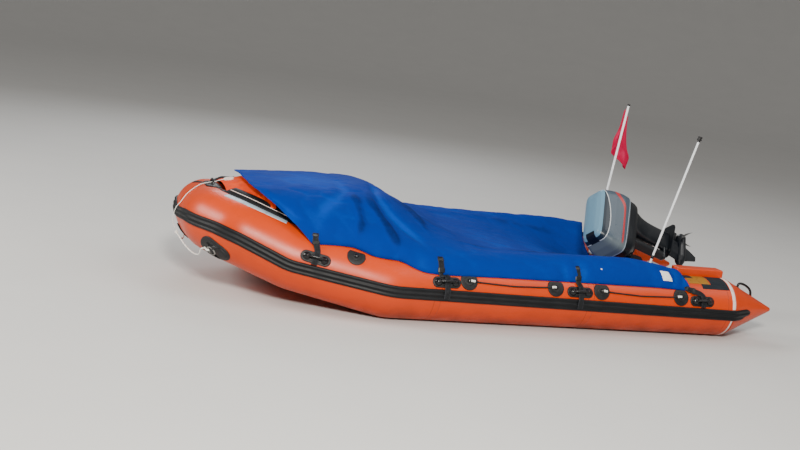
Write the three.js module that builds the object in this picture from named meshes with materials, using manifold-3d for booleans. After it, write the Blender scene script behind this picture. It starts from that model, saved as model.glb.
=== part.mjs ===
// Inflatable inshore lifeboat with a tilted outboard engine and a fabric cover, in millimetres.
// +X is the bow, +Y is port, +Z is up. The origin is under the keel, below the transom's middle.
import * as THREE from 'three';
import { mergeVertices } from 'three/addons/utils/BufferGeometryUtils.js';
import Module from 'manifold-3d';

const wasm = await Module();
wasm.setup();

// Driving dimensions of the boat
const tubeRadius = 236;
const tubeSides = 48;
const gap = 0.3;
const tubeY = 777;
const coneRingX = -424;
const coneLength = 510;
const coneTipRadius = 20;
const skinThickness = 9;
const keelThickness = 12;
const keelWidth = 64;
const transomThickness = 48;
const transomHeight = 405;

// Centre line of the air tube, port side, from the stern cone to the middle of the bow, with the
// tube's radius there and how many degrees the rubbing strake sinks below its usual line
const tubePath = [
  { x: coneRingX, y: tubeY, z: tubeRadius, radius: tubeRadius, sink: 3.5 },
  { x: 2511, y: tubeY, z: tubeRadius, radius: tubeRadius, sink: -3.5 },
  { x: 3195, y: 579, z: 353, radius: tubeRadius, sink: 4 },
  { x: 3575, y: 428, z: 481, radius: tubeRadius, sink: -0.5 },
  { x: 3722, y: 215, z: 512, radius: 232, sink: 4.5 },
  { x: 3751, y: 0, z: 521, radius: 222, sink: 12 },
];
const lastBend = 3; // the bend where the bow tube begins

// Outboard engine: the tilt pin, the steering axis behind it, and how far it is parked up and round
const tiltPin = { x: 46, z: 445 };
const parkedTilt = THREE.MathUtils.degToRad(72);
const parkedSteer = THREE.MathUtils.degToRad(35);
const steerX = -130;
const steerBore = 19;
const cheekInner = 104;
const cheekThickness = 16;

const group = new THREE.Group();

// Materials, one colour for each finish
const finishes = {
  orangeRubber: { color: 0xe2511a, roughness: 0.5, metalness: 0 },
  blackRubber: { color: 0x1b1b1d, roughness: 0.7, metalness: 0 },
  blueCloth: { color: 0x1447a8, roughness: 0.85, metalness: 0 },
  redCloth: { color: 0xc23a22, roughness: 0.8, metalness: 0 },
  greyPaint: { color: 0x6f7478, roughness: 0.35, metalness: 0.1 },
  blackPaint: { color: 0x17181a, roughness: 0.4, metalness: 0.1 },
  castMetal: { color: 0x4d4f52, roughness: 0.6, metalness: 0.5 },
  whitePlastic: { color: 0xe8e8e4, roughness: 0.4, metalness: 0 },
  whiteRope: { color: 0xd9d6cc, roughness: 0.9, metalness: 0 },
  boardPaint: { color: 0x8d9094, roughness: 0.6, metalness: 0 },
};

function add(name, geometry, finish, parent = group) {
  const mesh = new THREE.Mesh(geometry, new THREE.MeshStandardMaterial(finishes[finish]));
  mesh.name = name;
  parent.add(mesh);
  return mesh;
}

// Solids and geometries: joining, cutting and mirroring
function solid(geometry) {
  const bare = geometry.index ? geometry.toNonIndexed() : geometry.clone();
  bare.deleteAttribute('normal');
  bare.deleteAttribute('uv');
  const merged = mergeVertices(bare, 1e-3);
  const mesh = new wasm.Mesh({
    numProp: 3,
    vertProperties: merged.attributes.position.array,
    triVerts: new Uint32Array(merged.index.array),
  });
  return new wasm.Manifold(mesh);
}

function geometryOf(manifold) {
  const mesh = manifold.getMesh();
  const geometry = new THREE.BufferGeometry();
  geometry.setAttribute('position', new THREE.BufferAttribute(mesh.vertProperties, 3));
  geometry.setIndex(new THREE.BufferAttribute(mesh.triVerts, 1));
  const loose = geometry.toNonIndexed();
  loose.computeVertexNormals();
  return loose;
}

function join(...geometries) {
  return geometryOf(geometries.map(solid).reduce((all, one) => all.add(one)));
}

function cut(geometry, ...tools) {
  return geometryOf(tools.map(solid).reduce((all, one) => all.subtract(one), solid(geometry)));
}

function common(geometry, other) {
  return geometryOf(solid(geometry).intersect(solid(other)));
}

// Six times the volume inside loose triangles, negative where they face inwards.
function signedVolume(geometry) {
  const position = geometry.attributes.position;
  const corner = (i) => new THREE.Vector3().fromBufferAttribute(position, i);
  let total = 0;
  for (let i = 0; i < position.count; i += 3) {
    total += corner(i).dot(corner(i + 1).cross(corner(i + 2)));
  }
  return total;
}

function turnFaces(geometry) {
  const position = geometry.attributes.position;
  for (let i = 0; i < position.count; i += 3) {
    const b = new THREE.Vector3().fromBufferAttribute(position, i + 1);
    const c = new THREE.Vector3().fromBufferAttribute(position, i + 2);
    position.setXYZ(i + 1, c.x, c.y, c.z);
    position.setXYZ(i + 2, b.x, b.y, b.z);
  }
}

// The same shape on the starboard side: y turns round, and so does the order of each face's corners.
function mirrored(geometry) {
  const flat = geometry.index ? geometry.toNonIndexed() : geometry.clone();
  const position = flat.attributes.position;
  for (let i = 0; i < position.count; i += 1) position.setY(i, -position.getY(i));
  turnFaces(flat);
  flat.computeVertexNormals();
  return flat;
}

function at(geometry, x, y, z) {
  return geometry.translate(x, y, z);
}

function box(x0, x1, y0, y1, z0, z1) {
  const geometry = new THREE.BoxGeometry(x1 - x0, y1 - y0, z1 - z0);
  return at(geometry, (x0 + x1) / 2, (y0 + y1) / 2, (z0 + z1) / 2);
}

// A cylinder between two points, with its own radius at each end.
function rod(from, to, radius, sides = 20, endRadius = radius) {
  const axis = new THREE.Vector3().subVectors(to, from);
  const geometry = new THREE.CylinderGeometry(endRadius, radius, axis.length(), sides);
  geometry.translate(0, axis.length() / 2, 0);
  geometry.applyQuaternion(
    new THREE.Quaternion().setFromUnitVectors(new THREE.Vector3(0, 1, 0), axis.normalize()),
  );
  return at(geometry, from.x, from.y, from.z);
}

function vec(x, y, z) {
  return new THREE.Vector3(x, y, z);
}

// Closed skin over rings of equal count. Each ring is a closed loop of points, and the two end
// rings are capped by strips between their first and second halves, so a hollow-sided loop stays true.
// The faces are turned outwards whichever way the rings run.
function loft(rings) {
  const count = rings[0].length;
  const positions = [];
  const push = (a, b, c) => positions.push(a.x, a.y, a.z, b.x, b.y, b.z, c.x, c.y, c.z);
  for (let i = 0; i + 1 < rings.length; i += 1) {
    for (let j = 0; j < count; j += 1) {
      const k = (j + 1) % count;
      push(rings[i][j], rings[i][k], rings[i + 1][k]);
      push(rings[i][j], rings[i + 1][k], rings[i + 1][j]);
    }
  }
  const cap = (ring, forward) => {
    for (let low = 0, high = count - 1; low + 1 < high; low += 1, high -= 1) {
      const faces = [[ring[low], ring[high], ring[low + 1]]];
      if (low + 1 < high - 1) faces.push([ring[low + 1], ring[high], ring[high - 1]]);
      for (const [a, b, c] of faces) (forward ? push(a, b, c) : push(a, c, b));
    }
  };
  cap(rings[0], true);
  cap(rings[rings.length - 1], false);
  const geometry = new THREE.BufferGeometry();
  geometry.setAttribute('position', new THREE.Float32BufferAttribute(positions, 3));
  if (signedVolume(geometry) < 0) turnFaces(geometry);
  geometry.computeVertexNormals();
  return geometry;
}

// A flat outline, given in the X-Z plane, thickened from y0 to y1.
function plate(outline, y0, y1) {
  const shape = new THREE.Shape(outline.map(([x, z]) => new THREE.Vector2(x, z)));
  const geometry = new THREE.ExtrudeGeometry(shape, { depth: y1 - y0, bevelEnabled: false });
  return at(geometry.rotateX(Math.PI / 2), 0, y1, 0);
}

// A round bar bent along a smooth curve through the points.
function bar(points, radius, sides = 10, steps = 24) {
  const curve = new THREE.CatmullRomCurve3(points, false, 'centripetal');
  const circle = new THREE.Shape().absarc(0, 0, radius, 0, 2 * Math.PI);
  return new THREE.ExtrudeGeometry(circle, {
    steps,
    curveSegments: sides / 2,
    extrudePath: curve,
    bevelEnabled: false,
  });
}

// The tube's frame: each straight run has a direction and two side vectors (out and up), carried
// over each bend by reflection, so a point on the skin stays on one line from stern to bow.
const runs = [];
const bends = [];
function layTubeFrame() {
  const points = tubePath.map((p) => vec(p.x, p.y, p.z));
  let out = vec(0, 1, 0);
  let up = vec(0, 0, 1);
  for (let i = 0; i + 1 < points.length; i += 1) {
    const along = vec(0, 0, 0).subVectors(points[i + 1], points[i]);
    const length = along.length();
    along.normalize();
    if (i > 0) {
      const normal = vec(0, 0, 0).addVectors(runs[i - 1].along, along).normalize();
      bends[i] = { point: points[i], normal };
      out = out.clone().addScaledVector(normal, -2 * out.dot(normal));
      up = up.clone().addScaledVector(normal, -2 * up.dot(normal));
    }
    runs.push({ start: points[i], along, length, out, up });
  }
  bends[0] = { point: points[0], normal: runs[0].along };
  const last = points.length - 1;
  bends[last] = { point: points[last], normal: vec(0, 1, 0) };
}
layTubeFrame();

function radial(run, angle) {
  return run.out.clone().multiplyScalar(Math.cos(angle)).addScaledVector(run.up, Math.sin(angle));
}

// Where the line on the skin at this angle, lifted off it, crosses the plane of bend i.
function onBend(i, angle, lift, shift = 0) {
  const run = runs[Math.min(i, runs.length - 1)];
  const radius = tubePath[i].radius + lift;
  const point = bends[i].point.clone().addScaledVector(radial(run, angle), radius);
  const offset = vec(0, 0, 0).subVectors(bends[i].point, point).dot(bends[i].normal);
  const along = offset / run.along.dot(bends[i].normal);
  return point.addScaledVector(run.along, along + shift);
}

// A point on the skin, at a distance along one run of the tube.
function onSkin(runIndex, distance, angleDegrees, lift = 0) {
  const run = runs[runIndex];
  const angle = THREE.MathUtils.degToRad(angleDegrees);
  const t = distance / run.length;
  const radius = tubePath[runIndex].radius * (1 - t) + tubePath[runIndex + 1].radius * t;
  return run.start
    .clone()
    .addScaledVector(run.along, distance)
    .addScaledVector(radial(run, angle), radius + lift);
}

// Part of the tube between two bends, on the port side.
function tubeBody(first, last, lift, shiftFirst = 0, shiftLast = 0) {
  const rings = [];
  for (let i = first; i <= last; i += 1) {
    const shift = i === first ? shiftFirst : i === last ? shiftLast : 0;
    const ring = [];
    for (let j = 0; j < tubeSides; j += 1) {
      ring.push(onBend(i, (2 * Math.PI * j) / tubeSides, lift, shift));
    }
    rings.push(ring);
  }
  return loft(rings);
}

const middle = tubePath.length - 1;

// The bow tube crosses the middle: its port rings are mirrored for starboard.
function bowBody(lift, shift) {
  const rings = [];
  for (let i = lastBend; i <= middle; i += 1) {
    const ring = [];
    for (let j = 0; j < tubeSides; j += 1) {
      const angle = (2 * Math.PI * j) / tubeSides;
      ring.push(onBend(i, angle, lift, i === lastBend ? shift : 0));
    }
    rings.push(ring);
  }
  for (let i = rings.length - 2; i >= 0; i -= 1) {
    rings.push(rings[i].map((p) => vec(p.x, -p.y, p.z)));
  }
  return loft(rings);
}

function sternCone(radius, length) {
  const profile = [new THREE.Vector2(0, 0), new THREE.Vector2(radius, 0)];
  const tipCentre = length - coneTipRadius;
  const slope = Math.atan2(radius - coneTipRadius, tipCentre);
  for (let step = 0; step <= 4; step += 1) {
    const angle = slope + (step / 4) * (Math.PI / 2 - slope);
    const x = step === 4 ? 0 : coneTipRadius * Math.cos(angle);
    profile.push(new THREE.Vector2(x, tipCentre + coneTipRadius * Math.sin(angle)));
  }
  const geometry = new THREE.LatheGeometry(profile, tubeSides);
  geometry.rotateZ(Math.PI / 2);
  return at(geometry, coneRingX - gap, tubeY, tubeRadius);
}

// Air tubes: two sides, the bow, and a pointed cone at each stern end
const sideTube = tubeBody(0, lastBend, 0, 0, -gap);
const bowTube = bowBody(0, 0);
const cone = sternCone(tubeRadius, coneLength);
add('tube_port', sideTube, 'orangeRubber');
add('tube_starboard', mirrored(sideTube), 'orangeRubber');
add('bow_tube', bowTube, 'orangeRubber');
add('cone_port', cone, 'orangeRubber');
add('cone_starboard', mirrored(cone), 'orangeRubber');

// Tools that cut what rests on the tubes, and the layer that patches are cut from
const clearTube = tubeBody(0, lastBend, gap, -1, 1);
const clearBow = bowBody(gap, -1);
const clearTubes = [clearTube, mirrored(clearTube), clearBow];
const clearAll = geometryOf(clearTubes.map(solid).reduce((all, one) => all.add(one)));
const clearSide = tubeBody(0, lastBend, gap, -1, 0.1 - gap);
const clearCone = sternCone(tubeRadius + 0.5, coneLength);
const sideLayer = cut(tubeBody(0, lastBend, gap + skinThickness, 0, -gap), clearTube);
const bowLayer = cut(bowBody(gap + skinThickness, gap), clearBow);
const portLayer = cut(tubeBody(2, middle, gap + skinThickness), clearSide, clearBow);

// Hull between the tubes: rows of keel height, and the side's width and height, along the boat
const hullSections = [
  { x: transomThickness / 2 + gap, keel: 12, side: 700, chine: 34, deck: 150 },
  { x: 2250, keel: 12, side: 700, chine: 34, deck: 150 },
  { x: 2800, keel: 24, side: 640, chine: 92, deck: 230 },
  { x: 3195, keel: 84, side: 540, chine: 180, deck: 350 },
  { x: 3560, keel: 208, side: 400, chine: 320, deck: 440 },
  { x: 3740, keel: 300, side: 190, chine: 370, deck: 470 },
];
function hullBody() {
  return loft(
    hullSections.map((s) => [
      vec(s.x, -s.side, s.chine),
      vec(s.x, 0, s.keel),
      vec(s.x, s.side, s.chine),
      vec(s.x, s.side, s.deck),
      vec(s.x, 0, s.deck),
      vec(s.x, -s.side, s.deck),
    ]),
  );
}
const clearPatches = bowBody(skinThickness + 2 * gap, -1);
const hull = cut(hullBody(), clearAll, clearPatches);
add('hull_bottom', hull, 'orangeRubber');

// Keel strip: flat rubber under the keel, and up the stem over the bow tube
function keelStrip() {
  const half = keelWidth / 2;
  const line = [[-transomThickness / 2, 12]];
  for (const s of hullSections.slice(1)) line.push([s.x, s.keel]);
  line[0][1] = hullSections[0].keel;
  const rings = line.map(([x, z], i) => {
    const [x0, z0] = line[Math.max(i - 1, 0)];
    const [x1, z1] = line[Math.min(i + 1, line.length - 1)];
    const slope = Math.atan2(z1 - z0, x1 - x0);
    const down = vec(Math.sin(slope), 0, -Math.cos(slope));
    const inner = vec(x, 0, z).addScaledVector(down, gap);
    const outer = vec(x, 0, z).addScaledVector(down, keelThickness);
    return [
      vec(outer.x, -half, outer.z),
      vec(outer.x, half, outer.z),
      vec(inner.x, half, inner.z),
      vec(inner.x, -half, inner.z),
    ];
  });
  return loft(rings);
}
add('keel_strip', cut(keelStrip(), hull, clearAll, clearPatches), 'blackRubber');

// Stem strip: rubber over the front of the bow tube, from the keel strip up to the rubbing strake
function stemStrip() {
  const low = 238;
  const high = 335;
  const tool = box(3500, 4200, -keelWidth / 2, keelWidth / 2, 0, 700);
  const centre = tubePath[middle];
  const wedge = [[centre.x, centre.z]];
  for (let a = low; a <= high; a += 19) {
    const angle = THREE.MathUtils.degToRad(a);
    wedge.push([centre.x + 600 * Math.cos(angle), centre.z + 600 * Math.sin(angle)]);
  }
  const slab = plate(wedge, -keelWidth / 2, keelWidth / 2);
  return common(common(bowLayer, tool), slab);
}
add('stem_strip', stemStrip(), 'blackRubber');

// Transom board across the stern, cut to the tubes
const transomOutline = [
  [-690, 60],
  [690, 60],
  [690, 430],
  [628, 430],
  [628, 474],
  [300, 474],
  [262, transomHeight],
  [-262, transomHeight],
  [-300, 474],
  [-628, 474],
  [-628, 430],
  [-690, 430],
];
function transomBoard() {
  const shape = new THREE.Shape(transomOutline.map(([y, z]) => new THREE.Vector2(y, z)));
  const board = new THREE.ExtrudeGeometry(shape, { depth: transomThickness, bevelEnabled: false });
  board.rotateX(Math.PI / 2).rotateZ(Math.PI / 2);
  return cut(at(board, -transomThickness / 2, 0, 0), clearAll);
}
add('transom', transomBoard(), 'boardPaint');

// Rubbing strake: a ribbed rubber band along the outside of the tubes. Each line along it has its
// angle round the tube, how high it stands, and how far it runs out over the stern cone.
const strakeBand = [
  { angle: -10, lift: 9, end: 55 },
  { angle: -7, lift: 16, end: 95 },
  { angle: -3, lift: 12, end: 150 },
  { angle: 0.5, lift: 17, end: 195 },
  { angle: 4, lift: 12, end: 212 },
  { angle: 8, lift: 16, end: 185 },
  { angle: 11, lift: 9, end: 150 },
];
const strakeRoot = -3; // the band starts inside the tube's skin and is cut back to it
function strakeLoop(place) {
  const inner = strakeBand.map((p) => place(p, strakeRoot));
  const outer = strakeBand.map((p) => place(p, gap + p.lift));
  return inner.concat(outer.reverse());
}
function strakeRing(i, shift) {
  return strakeLoop((p, lift) => {
    const angle = THREE.MathUtils.degToRad(p.angle - tubePath[i].sink);
    return onBend(i, angle, lift, shift);
  });
}
// On the cone the band keeps its width while the radius shrinks, and its end is cut slanting.
function coneStrakeRing(share) {
  const taper = tubeRadius / coneLength;
  return strakeLoop((p, lift) => {
    const back = p.end * share;
    const radius = tubeRadius - taper * back;
    const angle = (THREE.MathUtils.degToRad(p.angle - tubePath[0].sink) * tubeRadius) / radius;
    const reach = radius + lift;
    const around = [tubeY + reach * Math.cos(angle), tubeRadius + reach * Math.sin(angle)];
    return vec(coneRingX - back, ...around);
  });
}
function sideStrake() {
  const rings = [coneStrakeRing(1), coneStrakeRing(0.5)];
  for (let i = 0; i <= lastBend; i += 1) rings.push(strakeRing(i, i === lastBend ? -gap : 0));
  return cut(loft(rings), clearSide, clearCone);
}
function bowStrake() {
  const rings = [];
  for (let i = lastBend; i <= middle; i += 1) rings.push(strakeRing(i, 0));
  for (let i = rings.length - 2; i >= 0; i -= 1) {
    rings.push(rings[i].map((p) => vec(p.x, -p.y, p.z)));
  }
  return cut(loft(rings), clearBow);
}
const strake = sideStrake();
add('strake_port', strake, 'blackRubber');
add('strake_starboard', mirrored(strake), 'blackRubber');
add('strake_bow', bowStrake(), 'blackRubber');

// How far round the tube the strake's middle line lies, at a distance along one run
function strakeAngle(runIndex, distance) {
  const t = distance / runs[runIndex].length;
  return 0.5 - tubePath[runIndex].sink * (1 - t) - tubePath[runIndex + 1].sink * t;
}

// A solid prism of an outline, standing out of the skin at a point, for cutting a patch.
// The outline's first axis lies along the tube and its second round it.
function standing(runIndex, distance, angleDegrees, outline, depth = 60) {
  const run = runs[runIndex];
  const out = radial(run, THREE.MathUtils.degToRad(angleDegrees));
  const around = vec(0, 0, 0).crossVectors(out, run.along);
  const shape = new THREE.Shape(outline.map(([a, b]) => new THREE.Vector2(a, b)));
  const prism = new THREE.ExtrudeGeometry(shape, { depth: 2 * depth, bevelEnabled: false });
  prism.translate(0, 0, -depth);
  prism.applyMatrix4(new THREE.Matrix4().makeBasis(run.along, around, out));
  const place = onSkin(runIndex, distance, angleDegrees);
  return at(prism, place.x, place.y, place.z);
}

// An oblong with round ends, or a disc. Its second axis runs down round the tube, and its upper side
// is cut flat where a limit is given.
function roundOutline(width, height, steps = 20, limit = height) {
  const radius = height / 2;
  const reach = width / 2 - radius;
  const points = [];
  for (let i = 0; i < steps; i += 1) {
    const angle = (2 * Math.PI * (i + 0.5)) / steps;
    const side = Math.cos(angle) > 0 ? reach : -reach;
    points.push([side + radius * Math.cos(angle), Math.max(radius * Math.sin(angle), -limit)]);
  }
  return points;
}

// A carrying handle: an oblong patch with a bar that arches over a finger gap
const handlePatch = { width: 225, height: 84 };
const handleBar = { reach: 68, rise: 46, radius: 9 };
function carryHandle(runIndex, distance, angleDegrees) {
  const outline = roundOutline(handlePatch.width, handlePatch.height);
  const patch = common(sideLayer, standing(runIndex, distance, angleDegrees, outline));
  const low = gap + skinThickness / 2;
  const spots = [
    [-handleBar.reach, low],
    [-handleBar.reach * 0.8, handleBar.rise * 0.8],
    [0, handleBar.rise],
    [handleBar.reach * 0.8, handleBar.rise * 0.8],
    [handleBar.reach, low],
  ];
  const points = spots.map(([along, lift]) =>
    onSkin(runIndex, distance + along, angleDegrees, lift),
  );
  return join(patch, bar(points, handleBar.radius, 8, 12));
}

// Handles and grab-line patches stand this many degrees above the strake's middle line, at these
// places along the tube. Under the cover's hem a patch is cut off at the hem's angle.
const handleRise = 23.6;
const patchRise = 28.8;
const hemAngle = 41;
const firstRun = (x) => x - coneRingX;
const handles = [
  { name: 'handle_aft', run: 0, distance: firstRun(-94) },
  { name: 'handle_mid_aft', run: 0, distance: firstRun(1016) },
  { name: 'handle_mid_fore', run: 0, distance: firstRun(2126) },
  { name: 'handle_fore', run: 1, distance: 569 },
];
for (const h of handles) {
  const handle = carryHandle(h.run, h.distance, strakeAngle(h.run, h.distance) + handleRise);
  add(`${h.name}_port`, handle, 'blackRubber');
  add(`${h.name}_starboard`, mirrored(handle), 'blackRubber');
}

// Grab lines: a rope between two round patches, each with a rope eye
const patchSize = 138;
const eyeLift = 20;
const ropeRadius = 6;
function grabPatch(runIndex, distance, angle, hem = hemAngle) {
  const limit = THREE.MathUtils.degToRad(hem - angle) * tubeRadius;
  const outline = roundOutline(patchSize, patchSize, 24, limit);
  const patch = common(sideLayer, standing(runIndex, distance, angle, outline));
  const foot = onSkin(runIndex, distance, angle, gap + 2);
  const top = onSkin(runIndex, distance, angle, eyeLift + 8);
  return join(patch, rod(foot, top, 17, 12, 11));
}
function grabLine(fromX, toX) {
  const start = firstRun(fromX);
  const end = firstRun(toX);
  const first = strakeAngle(0, start) + patchRise;
  const last = strakeAngle(0, end) + patchRise;
  const rope = [
    [0, 0, eyeLift - 4],
    [0.05, 0.6, eyeLift - 3],
    [0.14, 1.6, ropeRadius + 2.6],
    [0.5, 4, ropeRadius + 2.6],
    [0.86, 1.6, ropeRadius + 2.6],
    [0.95, 0.6, eyeLift - 3],
    [1, 0, eyeLift - 4],
  ].map(([t, sag, lift]) =>
    onSkin(0, start + (end - start) * t, first + (last - first) * t - sag, lift),
  );
  return join(grabPatch(0, start, first), grabPatch(0, end, last), bar(rope, ropeRadius, 6, 18));
}
const grabLines = [
  { name: 'grab_line_aft', from: 106, to: 826 },
  { name: 'grab_line_fore', from: 1226, to: 1946 },
];
for (const line of grabLines) {
  const rope = grabLine(line.from, line.to);
  add(`${line.name}_port`, rope, 'blackRubber');
  add(`${line.name}_starboard`, mirrored(rope), 'blackRubber');
}
const forePatch = grabPatch(1, 290, 47, 57);
add('grab_patch_port', forePatch, 'blackRubber');
add('grab_patch_starboard', mirrored(forePatch), 'blackRubber');

// Tow patches: round patches low on each side of the bow, with a ring for the painter
const towSpot = { run: 3, distance: 45, angle: -45, size: 255 };
function towPatch() {
  const { run, distance, angle, size } = towSpot;
  const disc = standing(run, distance, angle, roundOutline(size, size, 24), 110);
  const patch = common(portLayer, disc);
  const ring = new THREE.TorusGeometry(34, 7, 8, 18);
  const along = runs[run].along;
  const out = radial(runs[run], THREE.MathUtils.degToRad(angle));
  const around = vec(0, 0, 0).crossVectors(out, along);
  ring.applyMatrix4(new THREE.Matrix4().makeBasis(along, around, out));
  const place = onSkin(run, distance, angle, skinThickness + 4);
  return join(patch, at(ring, place.x, place.y, place.z));
}
const tow = towPatch();
add('tow_patch_port', tow, 'blackRubber');
add('tow_patch_starboard', mirrored(tow), 'blackRubber');

// Fairlead on top of the bow: an oval patch with a low eye
function bowFitting() {
  const patch = common(bowLayer, standing(4, 216, 82, roundOutline(230, 130, 24)));
  const foot = onSkin(4, 216, 82, gap + 2);
  const points = [-52, -40, 0, 40, 52].map((a) =>
    vec(foot.x, a, foot.z + (Math.abs(a) > 50 ? 0 : Math.abs(a) > 30 ? 30 : 42)),
  );
  return cut(join(patch, bar(points, 8, 8, 14)), clearBow);
}
add('bow_fitting', bowFitting(), 'blackRubber');

// Stern fittings: a raised pad along the top of each tube, and a loop on each cone
function quarterPad() {
  const outline = [
    [-430, 440],
    [-426, 519],
    [-414, 530],
    [4, 530],
    [4, 440],
  ];
  return cut(plate(outline, 636, 748), clearAll, box(-600, coneRingX, 500, 900, 0, 470));
}
const pad = quarterPad();
add('quarter_pad_port', pad, 'orangeRubber');
add('quarter_pad_starboard', mirrored(pad), 'orangeRubber');

function coneLoop() {
  const spots = [
    [-566, 0],
    [-578, 38],
    [-640, 58],
    [-700, 44],
    [-716, 0],
  ];
  const points = spots.map(([x, lift]) => {
    const radius = tubeRadius * (1 - (coneRingX - x) / coneLength);
    return vec(x, tubeY, tubeRadius + radius + lift - 1);
  });
  return cut(bar(points, 8, 8, 16), sternCone(tubeRadius + 1.2, coneLength));
}
const loop = coneLoop();
add('cone_loop_port', loop, 'blackRubber');
add('cone_loop_starboard', mirrored(loop), 'blackRubber');

// Spray dodger: cloth over the bow, from the bow tube up to the cover's front edge
const dodgerSections = [
  { x: 3330, half: 420, shoulder: 760, top: 822 },
  { x: 3470, half: 380, shoulder: 752, top: 814 },
  { x: 3620, half: 290, shoulder: 738, top: 780 },
  { x: 3720, half: 190, shoulder: 728, top: 754 },
];
function archRing(x, half, shoulder, top, floor, grow) {
  const ring = [vec(x, half + 40 + grow, floor), vec(x, half + 30 + grow, shoulder - 90 + grow)];
  const steps = 6;
  for (let i = 0; i <= steps; i += 1) {
    const t = 1 - (2 * i) / steps;
    ring.push(vec(x, t * (half + grow), shoulder + grow + (top - shoulder) * (1 - t * t)));
  }
  ring.push(vec(x, -half - 30 - grow, shoulder - 90 + grow), vec(x, -half - 40 - grow, floor));
  return ring.reverse();
}
function dodger(grow = 0) {
  return loft(
    dodgerSections.map((s) => archRing(s.x, s.half, s.shoulder, s.top, 475, grow)),
  );
}
add('bow_dodger', cut(dodger(), clearAll, clearPatches), 'redCloth');

// Cover: stations along the boat. The top line is at the middle, the ridge is where the cloth turns
// down over the tube, and the hem is on the tube's outside; far is how much higher the starboard
// ridge stands than the port one, and sweep draws the sides aft or forward.
const coverStations = [
  { x: 200, ridgeY: 772, ridge: 542, far: 40, middle: 300, hemY: 957, hem: 400, sweep: -120 },
  { x: 480, ridgeY: 772, ridge: 606, far: 0, middle: 300, hemY: 953, hem: 404, sweep: 0 },
  { x: 850, ridgeY: 772, ridge: 592, far: 8, middle: 430, hemY: 957, hem: 400, sweep: 0 },
  { x: 1300, ridgeY: 772, ridge: 553, far: 49, middle: 505, hemY: 958, hem: 400, sweep: 0 },
  { x: 1750, ridgeY: 772, ridge: 545, far: 60, middle: 540, hemY: 960, hem: 397, sweep: 0 },
  { x: 2150, ridgeY: 765, ridge: 560, far: 50, middle: 690, hemY: 959, hem: 399, sweep: 0 },
  { x: 2340, ridgeY: 735, ridge: 600, far: 30, middle: 800, hemY: 952, hem: 405, sweep: 0 },
  { x: 2500, ridgeY: 690, ridge: 655, far: 0, middle: 884, hemY: 877, hem: 460, sweep: 0 },
  { x: 2720, ridgeY: 630, ridge: 725, far: 0, middle: 890, hemY: 855, hem: 473, sweep: -30 },
  { x: 2950, ridgeY: 575, ridge: 762, far: 0, middle: 886, hemY: 790, hem: 512, sweep: -110 },
  { x: 3250, ridgeY: 530, ridge: 780, far: 0, middle: 868, hemY: 785, hem: 514, sweep: -250 },
  { x: 3528, ridgeY: 500, ridge: 775, far: 0, middle: 842, hemY: 784, hem: 514, sweep: -443 },
];
function coverRing(s, steps = 8) {
  const outer = [];
  const spot = (y, z) => {
    const reach = Math.min(Math.abs(y) / 800, 1.2);
    return vec(s.x + s.sweep * Math.pow(reach, 3.4), y, z);
  };
  const floor = Math.max(s.middle - 130, 180);
  outer.push(spot(s.hemY, s.hem));
  outer.push(spot((s.hemY + s.ridgeY) / 2 + 34, (s.hem + s.ridge) / 2 + 22));
  for (let i = 0; i <= steps; i += 1) {
    const t = 1 - (2 * i) / steps;
    const drop = Math.pow(Math.abs(t), 2.6);
    const ridge = s.ridge + (t < 0 ? s.far : 0);
    outer.push(spot(t * s.ridgeY, s.middle + (ridge - s.middle) * drop));
  }
  outer.push(spot(-(s.hemY + s.ridgeY) / 2 - 34, (s.hem + s.ridge + s.far) / 2 + 22));
  outer.push(spot(-s.hemY, s.hem));
  const inner = outer.map((p) => {
    const y = Math.max(-600, Math.min(600, p.y * 0.8));
    return spot(y, Math.min(p.z - 40, floor));
  });
  return outer.concat(inner.reverse()).reverse();
}
function cover() {
  return loft(coverStations.map((s) => coverRing(s)));
}
const clearDodger = dodger(12);
add('cover', cut(cover(), clearAll, clearDodger), 'blueCloth');

// Masts: a light mast to port and a flag staff to starboard, in feet on the transom's inside
const lightMast = { foot: vec(114, 450, 400), top: vec(-151.5, 450, 1550), radius: 9 };
const flagStaff = { foot: vec(131, -450, 400), top: vec(23, -450, 1720), radius: 10 };
function mast(line) {
  const up = vec(0, 0, 0).subVectors(line.top, line.foot).normalize();
  const below = line.foot.clone().addScaledVector(up, -60);
  const socketTop = line.foot.clone().addScaledVector(up, 70);
  const socket = rod(below, socketTop, 24, 16);
  const bracket = box(
    transomThickness / 2 + gap,
    line.foot.x + 4,
    line.foot.y - 30,
    line.foot.y + 30,
    line.foot.z - 50,
    line.foot.z - 10,
  );
  return join(rod(below, line.top, line.radius, 14), socket, bracket);
}
function mastLamp(line) {
  const up = vec(0, 0, 0).subVectors(line.top, line.foot).normalize();
  const base = line.top.clone().addScaledVector(up, gap);
  const profile = [
    [0, 0],
    [18, 0],
    [20, 3],
    [20, 11],
    [15, 13],
    [15, 21],
    [20, 23],
    [18, 31],
    [0, 33],
  ].map(([r, z]) => new THREE.Vector2(r, z));
  const lamp = new THREE.LatheGeometry(profile, 16);
  lamp.applyQuaternion(new THREE.Quaternion().setFromUnitVectors(vec(0, 1, 0), up));
  return at(lamp, base.x, base.y, base.z);
}
add('light_mast', mast(lightMast), 'whitePlastic');
add('mast_lamp', mastLamp(lightMast), 'whitePlastic');
add('flag_staff', mast(flagStaff), 'whitePlastic');

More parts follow.
